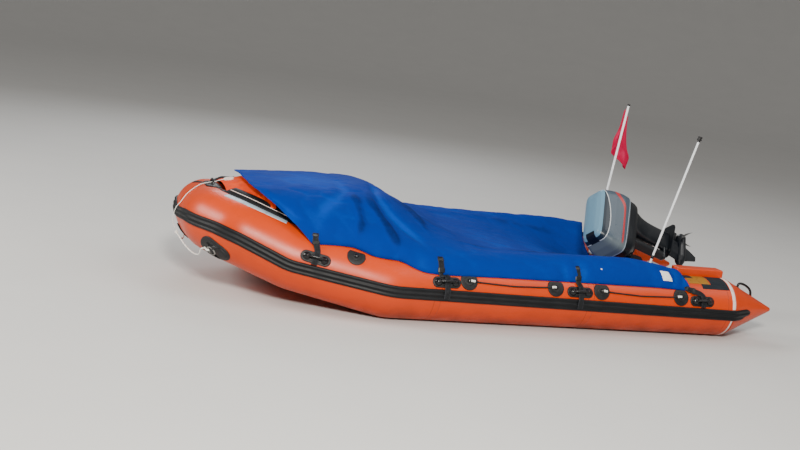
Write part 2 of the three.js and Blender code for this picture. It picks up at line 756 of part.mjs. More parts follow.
// Flag: limp cloth hanging on the staff's outer side
function flag() {
  const rows = [
    { z: 1700, width: 20 },
    { z: 1560, width: 90 },
    { z: 1330, width: 118 },
    { z: 1200, width: 60 },
  ];
  const rings = rows.map(({ z, width }) => {
    const t = (z - flagStaff.foot.z) / (flagStaff.top.z - flagStaff.foot.z);
    const x = flagStaff.foot.x + (flagStaff.top.x - flagStaff.foot.x) * t;
    const near = flagStaff.foot.y - flagStaff.radius - 36.4;
    return [
      vec(x - width, near, z),
      vec(x + width * 0.4, near, z),
      vec(x + width * 0.4, near + 36, z),
      vec(x - width, near + 36, z),
    ];
  });
  return loft(rings.reverse());
}
add('flag', flag(), 'redCloth');

// Tow bridle: a rope from one tow ring to the other, held up at its middle by a thin lanyard that
// runs up over the bow to the fairlead and ends in a small coil on the dodger
const bridleRadius = 5.5;
const lanyardRadius = 3;
const bridleMiddle = vec(3958, 0, 356);
const bridleHalf = [
  towPoint(64, 0, 9),
  towPoint(96, -12, 22),
  vec(3838, 345, 276),
  vec(3866, 225, 262),
  vec(3908, 110, 292),
  vec(3938, 38, 330),
];
function towPoint(along, around, lift) {
  const { run, distance, angle } = towSpot;
  const degrees = THREE.MathUtils.radToDeg(around / tubeRadius);
  return onSkin(run, distance + along, angle + degrees, skinThickness + lift);
}
function bridle() {
  const port = bridleHalf;
  const starboard = port.map((p) => vec(p.x, -p.y, p.z)).reverse();
  const rope = bar([...port, bridleMiddle, ...starboard], bridleRadius, 8, 44);
  const knot = new THREE.SphereGeometry(15, 12, 8);
  return join(rope, at(knot, bridleMiddle.x, bridleMiddle.y, bridleMiddle.z));
}
add('bridle', bridle(), 'whiteRope');
const coil = { x: 3600, y: -50, z: 789, radius: 33, slope: 0.24 };
function lanyard() {
  const fromCoil = [
    vec(coil.x + coil.radius + 12, coil.y, coil.z - 9),
    vec(3676, -38, 772),
    vec(3710, -20, 764),
    vec(3744, -4, 760),
  ];
  const overBow = [
    [210, 72, 14.5],
    [205, 61, 14],
    [200, 48, 6],
    [192, 30, 5.5],
    [188, 18, 6],
    [189, 9, 8],
    [193, 2, 17],
    [198, -4, 24],
  ].map(([distance, angle, lift]) => onSkin(4, distance, angle, lift));
  const knotTop = vec(bridleMiddle.x + 2, 0, bridleMiddle.z + 15.6);
  const fall = [vec(3998, 8, 462), vec(3986, 3, 410), knotTop];
  return bar([...fromCoil, ...overBow, ...fall], lanyardRadius, 8, 64);
}
add('lanyard', lanyard(), 'whiteRope');
function lanyardCoil() {
  const inner = coil.radius - 8;
  const outer = coil.radius + 8;
  const profile = [
    [inner, -6],
    [outer, -6],
    [outer, 6],
    [inner, 6],
    [inner, -6],
  ].map(([r, z]) => new THREE.Vector2(r, z));
  const ring = new THREE.LatheGeometry(profile, 24).rotateX(Math.PI / 2);
  ring.rotateY(Math.atan(coil.slope));
  return at(ring, coil.x, coil.y, coil.z + 1.9);
}
add('lanyard_coil', lanyardCoil(), 'whiteRope');

// Outboard engine. The clamp stays on the transom; the rest is drawn upright about the tilt pin
// and parked by turning it forward.
const cheekOutline = [
  [-25, 180],
  [-75, 226],
  [-82, 396],
  [-24, 466],
  [30, 480],
  [72, 468],
  [86, 434],
  [84, 312],
  [62, 290],
  [25, 304],
  [25, transomHeight + gap],
  [-25, transomHeight + gap],
];
const clampZ = 336;
function clampBracket() {
  const outer = cheekInner + cheekThickness;
  const left = plate(cheekOutline, cheekInner, outer);
  const right = plate(cheekOutline, -outer, -cheekInner);
  const pin = rod(vec(tiltPin.x, -outer - 8, tiltPin.z), vec(tiltPin.x, outer + 8, tiltPin.z), 15);
  const parts = [left, right, pin];
  for (const side of [1, -1]) {
    const y = side * (outer - 8);
    const screw = rod(vec(27, y, clampZ), vec(112, y, clampZ), 8, 12);
    const handle = rod(vec(106, y - 30, clampZ), vec(106, y + 30, clampZ), 6, 10);
    parts.push(screw, handle);
  }
  return join(...parts);
}
add('clamp_bracket', clampBracket(), 'castMetal');

const tilt = new THREE.Group();
tilt.position.set(tiltPin.x, 0, tiltPin.z);
tilt.rotation.y = parkedTilt;
group.add(tilt);

// Swivel bracket: an eye round the tilt pin, and the long steering tube behind it
const swivelTop = 34;
const swivelLow = -318;
function swivelBracket() {
  const eye = rod(vec(0, -98, 0), vec(0, 98, 0), 31, 24);
  const arm = box(-138, -4, -58, 58, -14, 26);
  const tube = rod(vec(steerX, 0, swivelLow), vec(steerX, 0, swivelTop), 40, 24);
  const web = plate([[-84, -10], [-84, -216], [-104, -286], [-130, -286], [-130, -10]], -54, 54);
  const pinBore = rod(vec(0, -120, 0), vec(0, 120, 0), 15.8, 24);
  const steering = rod(vec(steerX, 0, -400), vec(steerX, 0, 100), steerBore, 24);
  return cut(join(eye, arm, tube, web), pinBore, steering);
}
add('swivel_bracket', swivelBracket(), 'castMetal', tilt);

// Rounded cross-section for the engine's housings, at one height
function roundedRing(z, x0, x1, half, corner, tilted = 0, steps = 4) {
  const ring = [];
  const spots = [
    [x1 - corner, half - corner, 0],
    [x0 + corner, half - corner, 90],
    [x0 + corner, -half + corner, 180],
    [x1 - corner, -half + corner, 270],
  ];
  for (const [cx, cy, start] of spots) {
    for (let i = 0; i <= steps; i += 1) {
      const angle = THREE.MathUtils.degToRad(start + (90 * i) / steps);
      const x = cx + corner * Math.cos(angle);
      ring.push(vec(x, cy + corner * Math.sin(angle), z - tilted * x));
    }
  }
  return ring;
}

// Engine housings, drawn about the steering axis: each section's height above the tilt pin, how far
// it reaches aft (-) and fore (+), its half width, its corner radius, and how much it leans
const seamLean = -0.036;
const seam = 203;
const panSections = [
  [62, -292, 96, 100, 50, 0],
  [84, -300, 186, 140, 60, 0],
  [130, -304, 228, 160, 62, -0.02],
  [seam, -306, 236, 168, 64, seamLean],
];
const cowlSections = [
  [seam + gap, -310, 240, 172, 64, seamLean],
  [262, -322, 232, 174, 64, -0.03],
  [340, -320, 208, 160, 60, 0],
  [416, -310, 172, 136, 50, 0],
  [446, -302, 160, 122, 46, 0],
  [464, -286, 140, 104, 42, 0],
  [476, -232, 92, 64, 36, 0],
];
function housing(sections) {
  return loft(sections.map((s) => roundedRing(...s)));
}
const cowlInside = [
  [seam - 1, -294, 222, 154, 52, seamLean],
  [262, -304, 214, 156, 52, -0.03],
  [340, -300, 188, 138, 50, 0],
  [414, -286, 146, 104, 40, 0],
];
const engineInside = [
  [seam + gap, -276, 196, 136, 44, seamLean],
  [262, -284, 190, 138, 44, -0.03],
  [340, -280, 164, 120, 42, 0],
  [398, -268, 132, 94, 34, 0],
];

const steered = new THREE.Group();
steered.position.set(steerX, 0, 0);
steered.rotation.z = parkedSteer;
tilt.add(steered);
add('engine_pan', housing(panSections), 'blackPaint', steered);
add('engine_cowl', cut(housing(cowlSections), housing(cowlInside)), 'greyPaint', steered);

// Leg: the housing under the pan, hung on the steering pin by an arm above and below the swivel
const ventPlateZ = -388;
function legHousing() {
  const sections = [
    [61.4, -292, -62, 96, 50],
    [20, -284, -62, 82, 48],
    [-40, -262, -60, 62, 42],
    [-120, -248, -60, 50, 38],
    [-220, -246, -62, 42, 34],
    [ventPlateZ + 10, -250, -60, 34, 32],
  ];
  const leg = loft(sections.map((s) => roundedRing(...s)).reverse());
  const pin = rod(vec(0, 0, swivelLow - 30), vec(0, 0, 58), steerBore - 0.8, 20);
  const upper = box(-80, 36, -44, 44, 40, 60);
  const lower = box(-80, 32, -30, 30, swivelLow - 34, swivelLow - 8);
  return join(leg, pin, upper, lower);
}
add('leg_housing', legHousing(), 'blackPaint', steered);

// Gearcase: anti-ventilation plate, strut, torpedo and skeg
const propZ = -540;
const torpedoNose = 20;
const torpedoLength = 232;
function gearcase() {
  const plateShape = new THREE.Shape();
  plateShape.moveTo(-4, 0);
  plateShape.quadraticCurveTo(-14, 58, -70, 64);
  plateShape.lineTo(-280, 94);
  plateShape.quadraticCurveTo(-312, 90, -316, 60);
  plateShape.lineTo(-316, -60);
  plateShape.quadraticCurveTo(-312, -90, -280, -94);
  plateShape.lineTo(-70, -64);
  plateShape.quadraticCurveTo(-14, -58, -4, 0);
  const vent = new THREE.ExtrudeGeometry(plateShape, {
    depth: 9,
    bevelEnabled: false,
    curveSegments: 4,
  });
  vent.translate(0, 0, ventPlateZ);
  const foilOutline = [
    [-90, 0],
    [-86, 12],
    [-30, 24],
    [30, 22],
    [72, 8],
    [78, 0],
    [72, -8],
    [30, -22],
    [-30, -24],
    [-86, -12],
  ];
  const foil = (z, middleX, spread) =>
    foilOutline.map(([x, y]) => vec(x * spread + middleX, y * spread, z));
  const strut = loft([foil(propZ - 8, -100, 1.05), foil(ventPlateZ + 5, -122, 1.05)]);
  const profile = [
    [0, 0],
    [24, 12],
    [42, 44],
    [50, 90],
    [52, 160],
    [47, torpedoLength],
    [0, torpedoLength],
  ].map(([r, z]) => new THREE.Vector2(r, z));
  const torpedo = new THREE.LatheGeometry(profile, 20).rotateZ(Math.PI / 2);
  torpedo.translate(torpedoNose, 0, propZ);
  const skeg = plate(
    [
      [-40, propZ - 30],
      [-198, propZ - 30],
      [-170, propZ - 110],
      [-140, propZ - 178],
      [-100, propZ - 178],
      [-72, propZ - 100],
    ],
    -7,
    7,
  );
  return join(vent, strut, torpedo, skeg);
}
add('gearcase', gearcase(), 'blackPaint', steered);

// Propeller: a hub behind the torpedo, with three broad blades
const bladeStart = THREE.MathUtils.degToRad(40);
const propeller = new THREE.Group();
propeller.position.set(torpedoNose - torpedoLength - 0.7, 0, propZ);
steered.add(propeller);
function propellerBody() {
  const profile = [
    [0, 0],
    [46, 0],
    [45, 58],
    [34, 78],
    [16, 92],
    [0, 94],
  ].map(([r, z]) => new THREE.Vector2(r, z));
  const hub = new THREE.LatheGeometry(profile, 24).rotateZ(Math.PI / 2);
  const parts = [hub];
  for (let blade = 0; blade < 3; blade += 1) {
    const rings = [];
    for (let i = 0; i <= 5; i += 1) {
      const radius = 38 + i * 18.6;
      const chord = 40 + 22 * Math.sin((Math.PI * (i + 0.6)) / 6);
      const pitch = THREE.MathUtils.degToRad(58 - i * 6);
      const thick = 5 - i * 0.6;
      const along = vec(-Math.sin(pitch), Math.cos(pitch), 0);
      const across = vec(Math.cos(pitch), Math.sin(pitch), 0);
      const centre = vec(-46, 0, radius);
      const spot = (a, c) =>
        centre.clone().addScaledVector(along, a).addScaledVector(across, c);
      rings.push([
        spot(-chord, 0),
        spot(-chord * 0.3, -thick),
        spot(chord * 0.5, -thick * 0.8),
        spot(chord, 0),
        spot(chord * 0.5, thick * 0.8),
        spot(-chord * 0.3, thick),
      ]);
    }
    parts.push(loft(rings.reverse()).rotateX(bladeStart + (2 * Math.PI * blade) / 3));
  }
  return join(...parts);
}
add('propeller', propellerBody(), 'blackPaint', propeller);

// Engine block, one plain mass inside the cowl, standing on the pan
add('engine_block', housing(engineInside), 'castMetal', steered);

export default group;
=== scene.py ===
import math

import bmesh
import bpy
import numpy as np
from mathutils import Matrix


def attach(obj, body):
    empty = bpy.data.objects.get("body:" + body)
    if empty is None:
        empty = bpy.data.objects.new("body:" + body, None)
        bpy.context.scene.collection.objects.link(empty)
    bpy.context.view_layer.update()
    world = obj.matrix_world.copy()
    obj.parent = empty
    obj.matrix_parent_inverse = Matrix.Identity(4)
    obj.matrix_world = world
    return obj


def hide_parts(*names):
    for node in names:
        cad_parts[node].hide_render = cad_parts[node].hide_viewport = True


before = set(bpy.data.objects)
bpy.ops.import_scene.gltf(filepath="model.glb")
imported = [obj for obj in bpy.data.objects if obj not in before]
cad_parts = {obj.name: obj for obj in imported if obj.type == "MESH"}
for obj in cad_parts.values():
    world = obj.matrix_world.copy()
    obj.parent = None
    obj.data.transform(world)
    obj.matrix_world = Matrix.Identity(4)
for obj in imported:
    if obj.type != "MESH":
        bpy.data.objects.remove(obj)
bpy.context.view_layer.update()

# arithmetic on whole arrays


def unit(v):
    # each vector over its own length
    return v / np.maximum(np.linalg.norm(v, axis=-1, keepdims=True), 1e-12)


def ease(low, high, x):
    # 0 below low, 1 above high, and 3t^2 - 2t^3 between them
    t = np.clip((x - low) / (high - low), 0, 1)
    return t * t * (3 - 2 * t)


def bell(x, width):
    # e to the minus square of x over width
    return np.exp(-((x / width) ** 2))


def softened(values, half, passes=2):
    # running mean over 2*half+1 samples along the first axis, the end values carried on
    kernel = np.ones(2 * half + 1) / (2 * half + 1)
    v = np.asarray(values, float)
    flat = v.reshape(len(v), -1)
    for _ in range(passes):
        padded = np.pad(flat, ((half, half), (0, 0)), mode="edge")
        flat = np.stack([np.convolve(padded[:, i], kernel, "valid") for i in range(flat.shape[1])], 1)
    return flat.reshape(v.shape)


def smoothCurve(points, count):
    # centripetal-like spline: a cubic through the points, with tangents from each one's neighbours,
    # sampled at equal steps of length
    p = np.asarray(points, float)
    step = np.maximum(np.linalg.norm(np.diff(p, axis=0), axis=1), 1e-9)
    at = np.concatenate([[0], np.cumsum(np.sqrt(step))])
    slope = np.empty_like(p)
    inner = (p[1:] - p[:-1]) / np.diff(at)[:, None]
    h = np.diff(at)[:, None]
    slope[1:-1] = (inner[:-1] * h[1:] + inner[1:] * h[:-1]) / (h[1:] + h[:-1])
    slope[0], slope[-1] = inner[0], inner[-1]
    fine = np.linspace(0, at[-1], 40 * len(p))
    k = np.clip(np.searchsorted(at, fine, side="right") - 1, 0, len(p) - 2)
    w = at[k + 1] - at[k]
    t = ((fine - at[k]) / w)[:, None]
    w = w[:, None]
    curve = (
        p[k] * (2 * t**3 - 3 * t**2 + 1)
        + slope[k] * w * (t**3 - 2 * t**2 + t)
        + p[k + 1] * (3 * t**2 - 2 * t**3)
        + slope[k + 1] * w * (t**3 - t**2)
    )
    return evenly(curve, count)


def evenly(curve, count):
    # the same line with its points at equal distances
    gone = np.concatenate([[0], np.cumsum(np.linalg.norm(np.diff(curve, axis=0), axis=1))])
    want = np.linspace(0, gone[-1], count)
    return np.stack([np.interp(want, gone, curve[:, i]) for i in range(curve.shape[1])], 1)


def waves(x, y, seed, size, layers=7):
    # smooth made-up relief from -1 to 1: a few sines of random direction and phase, each one
    # bent by the one before
    pick = np.random.default_rng(seed)
    total, bend = 0.0, 0.0
    for _ in range(layers):
        turn, phase, scale = pick.uniform(0, math.pi), pick.uniform(0, 2 * math.pi), pick.uniform(0.6, 1.7)
        run = (x * math.cos(turn) + y * math.sin(turn)) * 2 * math.pi * scale / size
        bend = np.sin(run + phase + 0.9 * bend)
        total = total + bend
    return total / layers * 1.6


def mirror(points):
    # the same points on the other side of the boat
    return np.asarray(points, float) * np.array([1.0, -1.0, 1.0])


# meshes


def gridFaces(rows, columns, closeRows=False, closeColumns=False):
    # the four corners of every cell of a grid of points, numbered row by row
    r = np.arange(rows if closeRows else rows - 1)[:, None]
    c = np.arange(columns if closeColumns else columns - 1)[None, :]
    nextR, nextC = (r + 1) % rows, (c + 1) % columns
    corners = [r * columns + c, r * columns + nextC, nextR * columns + nextC, nextR * columns + c]
    return np.stack([np.broadcast_to(k, (r.size, c.size)) for k in corners], -1).reshape(-1, 4)


def makeMesh(name, points, faces, uv=None, fields=None):
    # one object from arrays: points, faces of four corners (three where the last is -1), a UV for
    # each point, and named fields of one number or one vector for each point
    points = np.asarray(points, float).reshape(-1, 3)
    mesh = bpy.data.meshes.new(name)
    mesh.from_pydata(points.tolist(), [], [[i for i in f if i >= 0] for f in np.asarray(faces).tolist()])
    mesh.validate()
    if uv is not None:
        loops = np.empty(len(mesh.loops), np.int32)
        mesh.loops.foreach_get("vertex_index", loops)
        layer = mesh.uv_layers.new(name="lay")
        layer.data.foreach_set("uv", np.asarray(uv, float).reshape(-1, 2)[loops].astype(np.float32).ravel())
    for key, values in (fields or {}).items():
        values = np.asarray(values, np.float32)
        wide = values.size == 3 * len(points)
        field = mesh.attributes.new(key, "FLOAT_VECTOR" if wide else "FLOAT", "POINT")
        field.data.foreach_set("vector" if wide else "value", values.ravel())
    mesh.polygons.foreach_set("use_smooth", np.full(len(mesh.polygons), True))
    mesh.update()
    made = bpy.data.objects.new(name, mesh)
    bpy.context.scene.collection.objects.link(made)
    return made


def gridNormals(grid):
    return unit(np.cross(np.gradient(grid, axis=0), np.gradient(grid, axis=1)))


def gridArea(grid):
    # the sum over the cells of two sides' cross product
    corner = grid[:-1, :-1]
    return float(np.linalg.norm(np.cross(grid[1:, :-1] - corner, grid[:-1, 1:] - corner), axis=-1).sum())


def clothPiece(name, grid, uv, fields, thick, split=False):
    # a grid of points given a wall: on its under side, or split half to each side
    piece = makeMesh(name, grid, gridFaces(*grid.shape[:2]), uv, fields)
    wall = piece.modifiers.new("cloth", "SOLIDIFY")
    wall.thickness = thick
    upward = gridNormals(grid)[len(grid) // 2, grid.shape[1] // 2, 2] > 0
    wall.offset = 0 if split else -1 if upward else 1
    return piece


class Lump:
    # points and faces of several surfaces gathered into one piece, with their UVs and a field "part"
    def __init__(self):
        self.points, self.faces, self.uv, self.part = [], [], [], []
        self.count = 0

    def add(self, points, faces, uv=None, part=0.0):
        points = np.asarray(points, float).reshape(-1, 3)
        faces = np.asarray(faces)
        self.points.append(points)
        self.faces.append(np.where(faces >= 0, faces + self.count, -1))
        self.uv.append(np.zeros((len(points), 2)) if uv is None else np.asarray(uv, float).reshape(-1, 2))
        self.part.append(np.full(len(points), float(part)))
        self.count += len(points)
        return self

    def addGrid(self, grid, closeRows=False, closeColumns=False, uv=None, part=0.0):
        rows, columns = grid.shape[:2]
        return self.add(grid, gridFaces(rows, columns, closeRows, closeColumns), uv, part)

    def piece(self, name, mirrored=False):
        points = np.vstack(self.points)
        faces = np.vstack(self.faces)
        if mirrored:
            points = mirror(points)
            faces = np.where(faces[:, 3:4] < 0, faces[:, [0, 2, 1, 3]], faces[:, ::-1])
        return makeMesh(name, points, faces, np.vstack(self.uv), {"part": np.concatenate(self.part)})


def closedGrid(rings):
    # rings of points with a middle point added at each end, so that the ends close to a point
    first, last = rings[0].mean(0), rings[-1].mean(0)
    shape = (1, rings.shape[1], 3)
    return np.concatenate([np.broadcast_to(first, shape), rings, np.broadcast_to(last, shape)])


def weld(piece):
    # merges the doubled points of closed ends and seams, and turns the faces outwards
    b = bmesh.new()
    b.from_mesh(piece.data)
    bmesh.ops.remove_doubles(b, verts=b.verts, dist=1e-6)
    bmesh.ops.dissolve_degenerate(b, edges=b.edges, dist=1e-7)
    bmesh.ops.recalc_face_normals(b, faces=b.faces)
    b.to_mesh(piece.data)
    b.free()
    return piece


def closedTube(name, rings, uv, mirrored=False):
    # rings joined into one closed skin with a point at each end
    lump = Lump().addGrid(closedGrid(rings), closeColumns=True, uv=padRows(uv))
    return weld(lump.piece(name, mirrored))


def padRows(uv):
    # the first and last rows once more, for the ends' middle points
    return np.pad(uv, ((1, 1), (0, 0), (0, 0)), mode="edge")


def carriedAxes(curve):
    # along, side and rise carried along a line without twist, by turning them with each bend
    along = unit(np.gradient(np.asarray(curve, float), axis=0))
    start = np.array([0.0, 0.0, 1.0]) if abs(along[0, 2]) < 0.9 else np.array([1.0, 0.0, 0.0])
    side = np.empty_like(along)
    side[0] = unit(np.cross(start, along[0]))
    for i in range(1, len(along)):
        s = side[i - 1] - along[i] * (side[i - 1] @ along[i])
        side[i] = s / np.linalg.norm(s)
    return along, side, np.cross(along, side)


def tubeRings(curve, radius, sides=12):
    # circles of the given radius square to the line
    curve = np.asarray(curve, float)
    _, side, rise = carriedAxes(curve)
    a = np.linspace(0, 2 * math.pi, sides, endpoint=False)
    r = np.broadcast_to(np.asarray(radius, float), (len(curve),))[:, None, None]
    spread = np.cos(a)[None, :, None] * side[:, None] + np.sin(a)[None, :, None] * rise[:, None]
    return curve[:, None] + r * spread


def ropeRings(curve, radius, strands=3, lay=6.0, sides=18, depth=0.14):
    # a laid rope: circles whose radius swells over each strand, turned once in lay diameters
    curve = np.asarray(curve, float)
    _, side, rise = carriedAxes(curve)
    gone = np.concatenate([[0], np.cumsum(np.linalg.norm(np.diff(curve, axis=0), axis=1))])
    a = np.linspace(0, 2 * math.pi, sides, endpoint=False)[None, :]
    r = np.broadcast_to(np.asarray(radius, float), (len(curve),))[:, None]
    turn = 2 * math.pi * gone[:, None] / (lay * 2 * r.min())
    swell = 1 - depth + depth * np.abs(np.cos(strands * (a - turn) / 2))
    spread = np.cos(a)[..., None] * side[:, None] + np.sin(a)[..., None] * rise[:, None]
    uv = np.stack(np.broadcast_arrays(gone[:, None], r * a), -1)
    return curve[:, None] + (r * swell)[..., None] * spread, uv


def roundedRing(x0, x1, half, corner, steps=8):
    # outline of a rectangle with round corners, from x0 to x1 and half to either side
    corner = min(corner, (x1 - x0) / 2 - 1e-5, half - 1e-5)
    a = np.radians(np.linspace(0, 90, steps))
    spots = [(x1 - corner, half - corner, 0), (x0 + corner, half - corner, 90)]
    spots += [(x0 + corner, corner - half, 180), (x1 - corner, corner - half, 270)]
    ring = []
    for x, y, start in spots:
        turn = a + math.radians(start)
        ring.append(np.stack([x + corner * np.cos(turn), y + corner * np.sin(turn)], 1))
    return np.vstack(ring)


# materials


class Wire:
    # a socket of a material's nodes: arithmetic on it adds Math nodes
    def __init__(self, tree, socket=None):
        self.tree = tree
        self.socket = socket

    def node(self, kind, settings=None, inputs=None, out=0):
        # any node: its settings first, then a value or a wire for each socket, by name or number
        made = self.tree.nodes.new(kind)
        for key, value in (settings or {}).items():
            if key == "stops":
                ramp = made.color_ramp
                while len(ramp.elements) < len(value):
                    ramp.elements.new(0.5)
                for element, (place, colour) in zip(ramp.elements, value):
                    element.position = place
                    element.color = (*colour, 1)
            else:
                setattr(made, key, value)
        for key, value in (inputs or {}).items():
            target = made.inputs[key]
            if isinstance(value, Wire):
                self.tree.links.new(value.socket, target)
            elif isinstance(value, tuple) and target.type == "RGBA" and len(value) == 3:
                target.default_value = (*value, 1)
            else:
                target.default_value = value
        return Wire(self.tree, made.outputs[out])

    def math(self, operation, a, b=0.0, clamp=False):
        return self.node("ShaderNodeMath", {"operation": operation, "use_clamp": clamp}, {0: a, 1: b})

    def __add__(self, other):
        return self.math("ADD", self, other)

    def __radd__(self, other):
        return self.math("ADD", other, self)

    def __sub__(self, other):
        return self.math("SUBTRACT", self, other)

    def __rsub__(self, other):
        return self.math("SUBTRACT", other, self)

    def __mul__(self, other):
        return self.math("MULTIPLY", self, other)

    def __rmul__(self, other):
        return self.math("MULTIPLY", other, self)

    def __abs__(self):
        return self.math("ABSOLUTE", self)

    def sine(self):
        return self.math("SINE", self)

    def exponent(self):
        return self.math("EXPONENT", self)

    def held(self):
        return self.math("ADD", self, 0.0, clamp=True)

    def largest(self, other):
        return self.math("MAXIMUM", self, other)

    def step(self, low, high):
        # 0 at low, 1 at high, smooth between them
        return self.node(
            "ShaderNodeMapRange",
            {"interpolation_type": "SMOOTHSTEP"},
            {"Value": self, "From Min": low, "From Max": high},
        )

    def line(self, place, half, soft):
        # 1 within half of the place, 0 further off than half and soft
        return 1 - abs(self - place).step(half, half + soft)

    def axis(self, letter):
        return self.node("ShaderNodeSeparateXYZ", None, {0: self}, out="XYZ".index(letter))

    def noise(self, scale, detail=3.0, rough=0.55, stretch=(1, 1, 1)):
        # cloudy noise from 0 to 1 over these coordinates, stretched along each axis
        place = self if stretch == (1, 1, 1) else self.scaled(stretch)
        inputs = {"Vector": place, "Scale": scale, "Detail": detail, "Roughness": rough}
        return self.node("ShaderNodeTexNoise", None, inputs)

    def scaled(self, by):
        return self.node("ShaderNodeMapping", None, {"Vector": self, "Scale": by})

    def colour(self, low, high):
        # the low colour where this is 0, the high one where it is 1
        return self.node(
            "ShaderNodeMix",
            {"data_type": "RGBA", "clamp_factor": True},
            {0: self, 6: low, 7: high},
            out=2,
        )

    def bump(self, distance, strength=1.0, normal=None):
        inputs = {"Strength": strength, "Distance": distance, "Height": self}
        if normal is not None:
            inputs["Normal"] = normal
        return self.node("ShaderNodeBump", None, inputs)


class Bench:
    # a new material with one Principled shader, and the coordinates that its nodes may read
    def __init__(self, name, **fixed):
        self.material = bpy.data.materials.new(name)
        self.material.use_nodes = True
        self.tree = self.material.node_tree
        self.shader = next(n for n in self.tree.nodes if n.type == "BSDF_PRINCIPLED")
        self.start = Wire(self.tree)
        for key, value in fixed.items():
            socket = self.shader.inputs[key.replace("_", " ")]
            socket.default_value = (*value, 1) if isinstance(value, tuple) else value

    def place(self):
        return self.start.node("ShaderNodeTexCoord", None, None, out=3)

    def uv(self):
        return self.start.node("ShaderNodeUVMap", {"uv_map": "lay"})

    def field(self, name):
        return self.start.node("ShaderNodeAttribute", {"attribute_name": name}, None, out=2)

    def vectorField(self, name):
        return self.start.node("ShaderNodeAttribute", {"attribute_name": name}, None, out=1)

    def feed(self, **wires):
        for key, wire in wires.items():
            self.tree.links.new(wire.socket, self.shader.inputs[key.replace("_", " ")])
        return self.material


def dress(piece, material, body="hull", nodes=()):
    # gives a piece its material and the body that it rides on, and hides the nodes it stands for
    piece.data.materials.clear()
    piece.data.materials.append(material)
    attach(piece, body)
    if nodes:
        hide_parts(*nodes)
    return piece


# camera, light and floor

viewPoint = {
    "place": (5.4452, 8.5548, 2.1953),
    # radians: round the upright from looking to starboard, below the level, and about the sight line
    "turn": 0.3647,
    "dip": 0.1778,
    "roll": -0.1493,
    "lens": 51.96,
}


def addCamera(v):
    # forward looks down the turn and the dip; right and down are level and then rolled about it
    turn, dip = v["turn"], v["dip"]
    forward = -np.array([math.sin(turn) * math.cos(dip), math.cos(turn) * math.cos(dip), math.sin(dip)])
    level = unit(np.cross(forward, (0, 0, 1)))
    drop = np.cross(forward, level)
    c, s = math.cos(v["roll"]), math.sin(v["roll"])
    right, down = c * level + s * drop, c * drop - s * level
    camera = bpy.data.objects.new("camera", bpy.data.cameras.new("camera"))
    camera.data.lens = v["lens"]
    camera.data.sensor_width = 36
    camera.data.clip_end = 200
    m = np.eye(4)
    m[:3, 0], m[:3, 1], m[:3, 2], m[:3, 3] = right, -down, -forward, v["place"]
    camera.matrix_world = Matrix(m.tolist())
    bpy.context.scene.collection.objects.link(camera)
    bpy.context.scene.camera = camera


addCamera(viewPoint)

studio = {
    "sky": (1.0, 0.97, 0.93),
    "skyStrength": 0.33,
    "lamps": [
        # name, place, aims at, size, watts, colour
        ("key", (5.0, 8.8, 5.4), (2.6, 0.6, 0.4), 1.6, 1250, (1.0, 0.96, 0.88)),
        ("bow", (11.0, -1.0, 5.2), (3.6, 0.2, 0.5), 3.0, 620, (1.0, 0.97, 0.92)),
        ("fill", (-3.0, 3.5, 8.0), (1.2, 0.2, 0.4), 6.0, 300, (1.0, 0.98, 0.95)),
        ("back", (1.0, -8.0, 6.5), (1.5, 0.0, 0.5), 5.0, 300, (0.95, 0.97, 1.0)),
    ],
    "floor": (0.62, 0.62, 0.61),
    # metres that lie flat, and the radius of the bend beyond them
    "bowl": (26.0, 24.0),
}


def addLight(name, place, aim, size, watts, colour):
    lamp = bpy.data.objects.new(name, bpy.data.lights.new(name, "AREA"))
    lamp.data.shape = "DISK"
    lamp.data.size = size
    lamp.data.energy = watts
    lamp.data.color = colour
    back = unit(np.subtract(place, aim))
    side = unit(np.cross((0, 0, 1), back))
    m = np.eye(4)
    m[:3, 0], m[:3, 1], m[:3, 2], m[:3, 3] = side, np.cross(back, side), back, place
    lamp.matrix_world = Matrix(m.tolist())
    bpy.context.scene.collection.objects.link(lamp)


def addStudio(s):
    world = bpy.data.worlds.new("sky")
    world.use_nodes = True
    sky = next(n for n in world.node_tree.nodes if n.type == "BACKGROUND")
    sky.inputs[0].default_value = (*s["sky"], 1)
    sky.inputs[1].default_value = s["skyStrength"]
    bpy.context.scene.world = world
    for lamp in s["lamps"]:
        addLight(*lamp)
    # flat round the boat, then curving up all round so that no horizon shows
    flat, bend = s["bowl"]
    lean = np.linspace(0, 1.4, 24)
    far = np.concatenate([[0.01, 2, 8, 16], flat + bend * np.sin(lean)])[:, None, None]
    high = np.concatenate([[0, 0, 0, 0], bend * (1 - np.cos(lean))])[:, None, None]
    a = np.linspace(0, 2 * math.pi, 96, endpoint=False)[:, None]
    grid = np.concatenate([far * np.cos(a), far * np.sin(a), high + 0 * a], -1)
    floor = makeMesh("floor", grid, gridFaces(len(far), len(a), closeColumns=True))
    bench = Bench("floor", Roughness=0.9, Specular_IOR_Level=0.2)
    spots = bench.place().noise(1.3, 4)
    floor.data.materials.append(bench.feed(Base_Color=spots.colour((0.58, 0.58, 0.575), s["floor"])))


addStudio(studio)
print("stage: camera, light and floor")

# the air tube's line

# centre line of the port tube from its cone to the middle of the bow, the tube's radius there, and
# how many degrees the rubbing strake sinks
tubeRadius = 0.236
tubeLine = {
    "points": [
        # x, y, z, radius, sink
        (-0.424, 0.777, 0.236, tubeRadius, 3.5),
        (2.511, 0.777, 0.236, tubeRadius, -3.5),
        (3.195, 0.579, 0.353, tubeRadius, 4.0),
        (3.575, 0.428, 0.481, tubeRadius, -0.5),
        (3.722, 0.215, 0.512, 0.232, 4.5),
        (3.751, 0.0, 0.521, 0.222, 12.0),
    ],
    "step": 0.01,
    "bendHalf": 0.02,
}


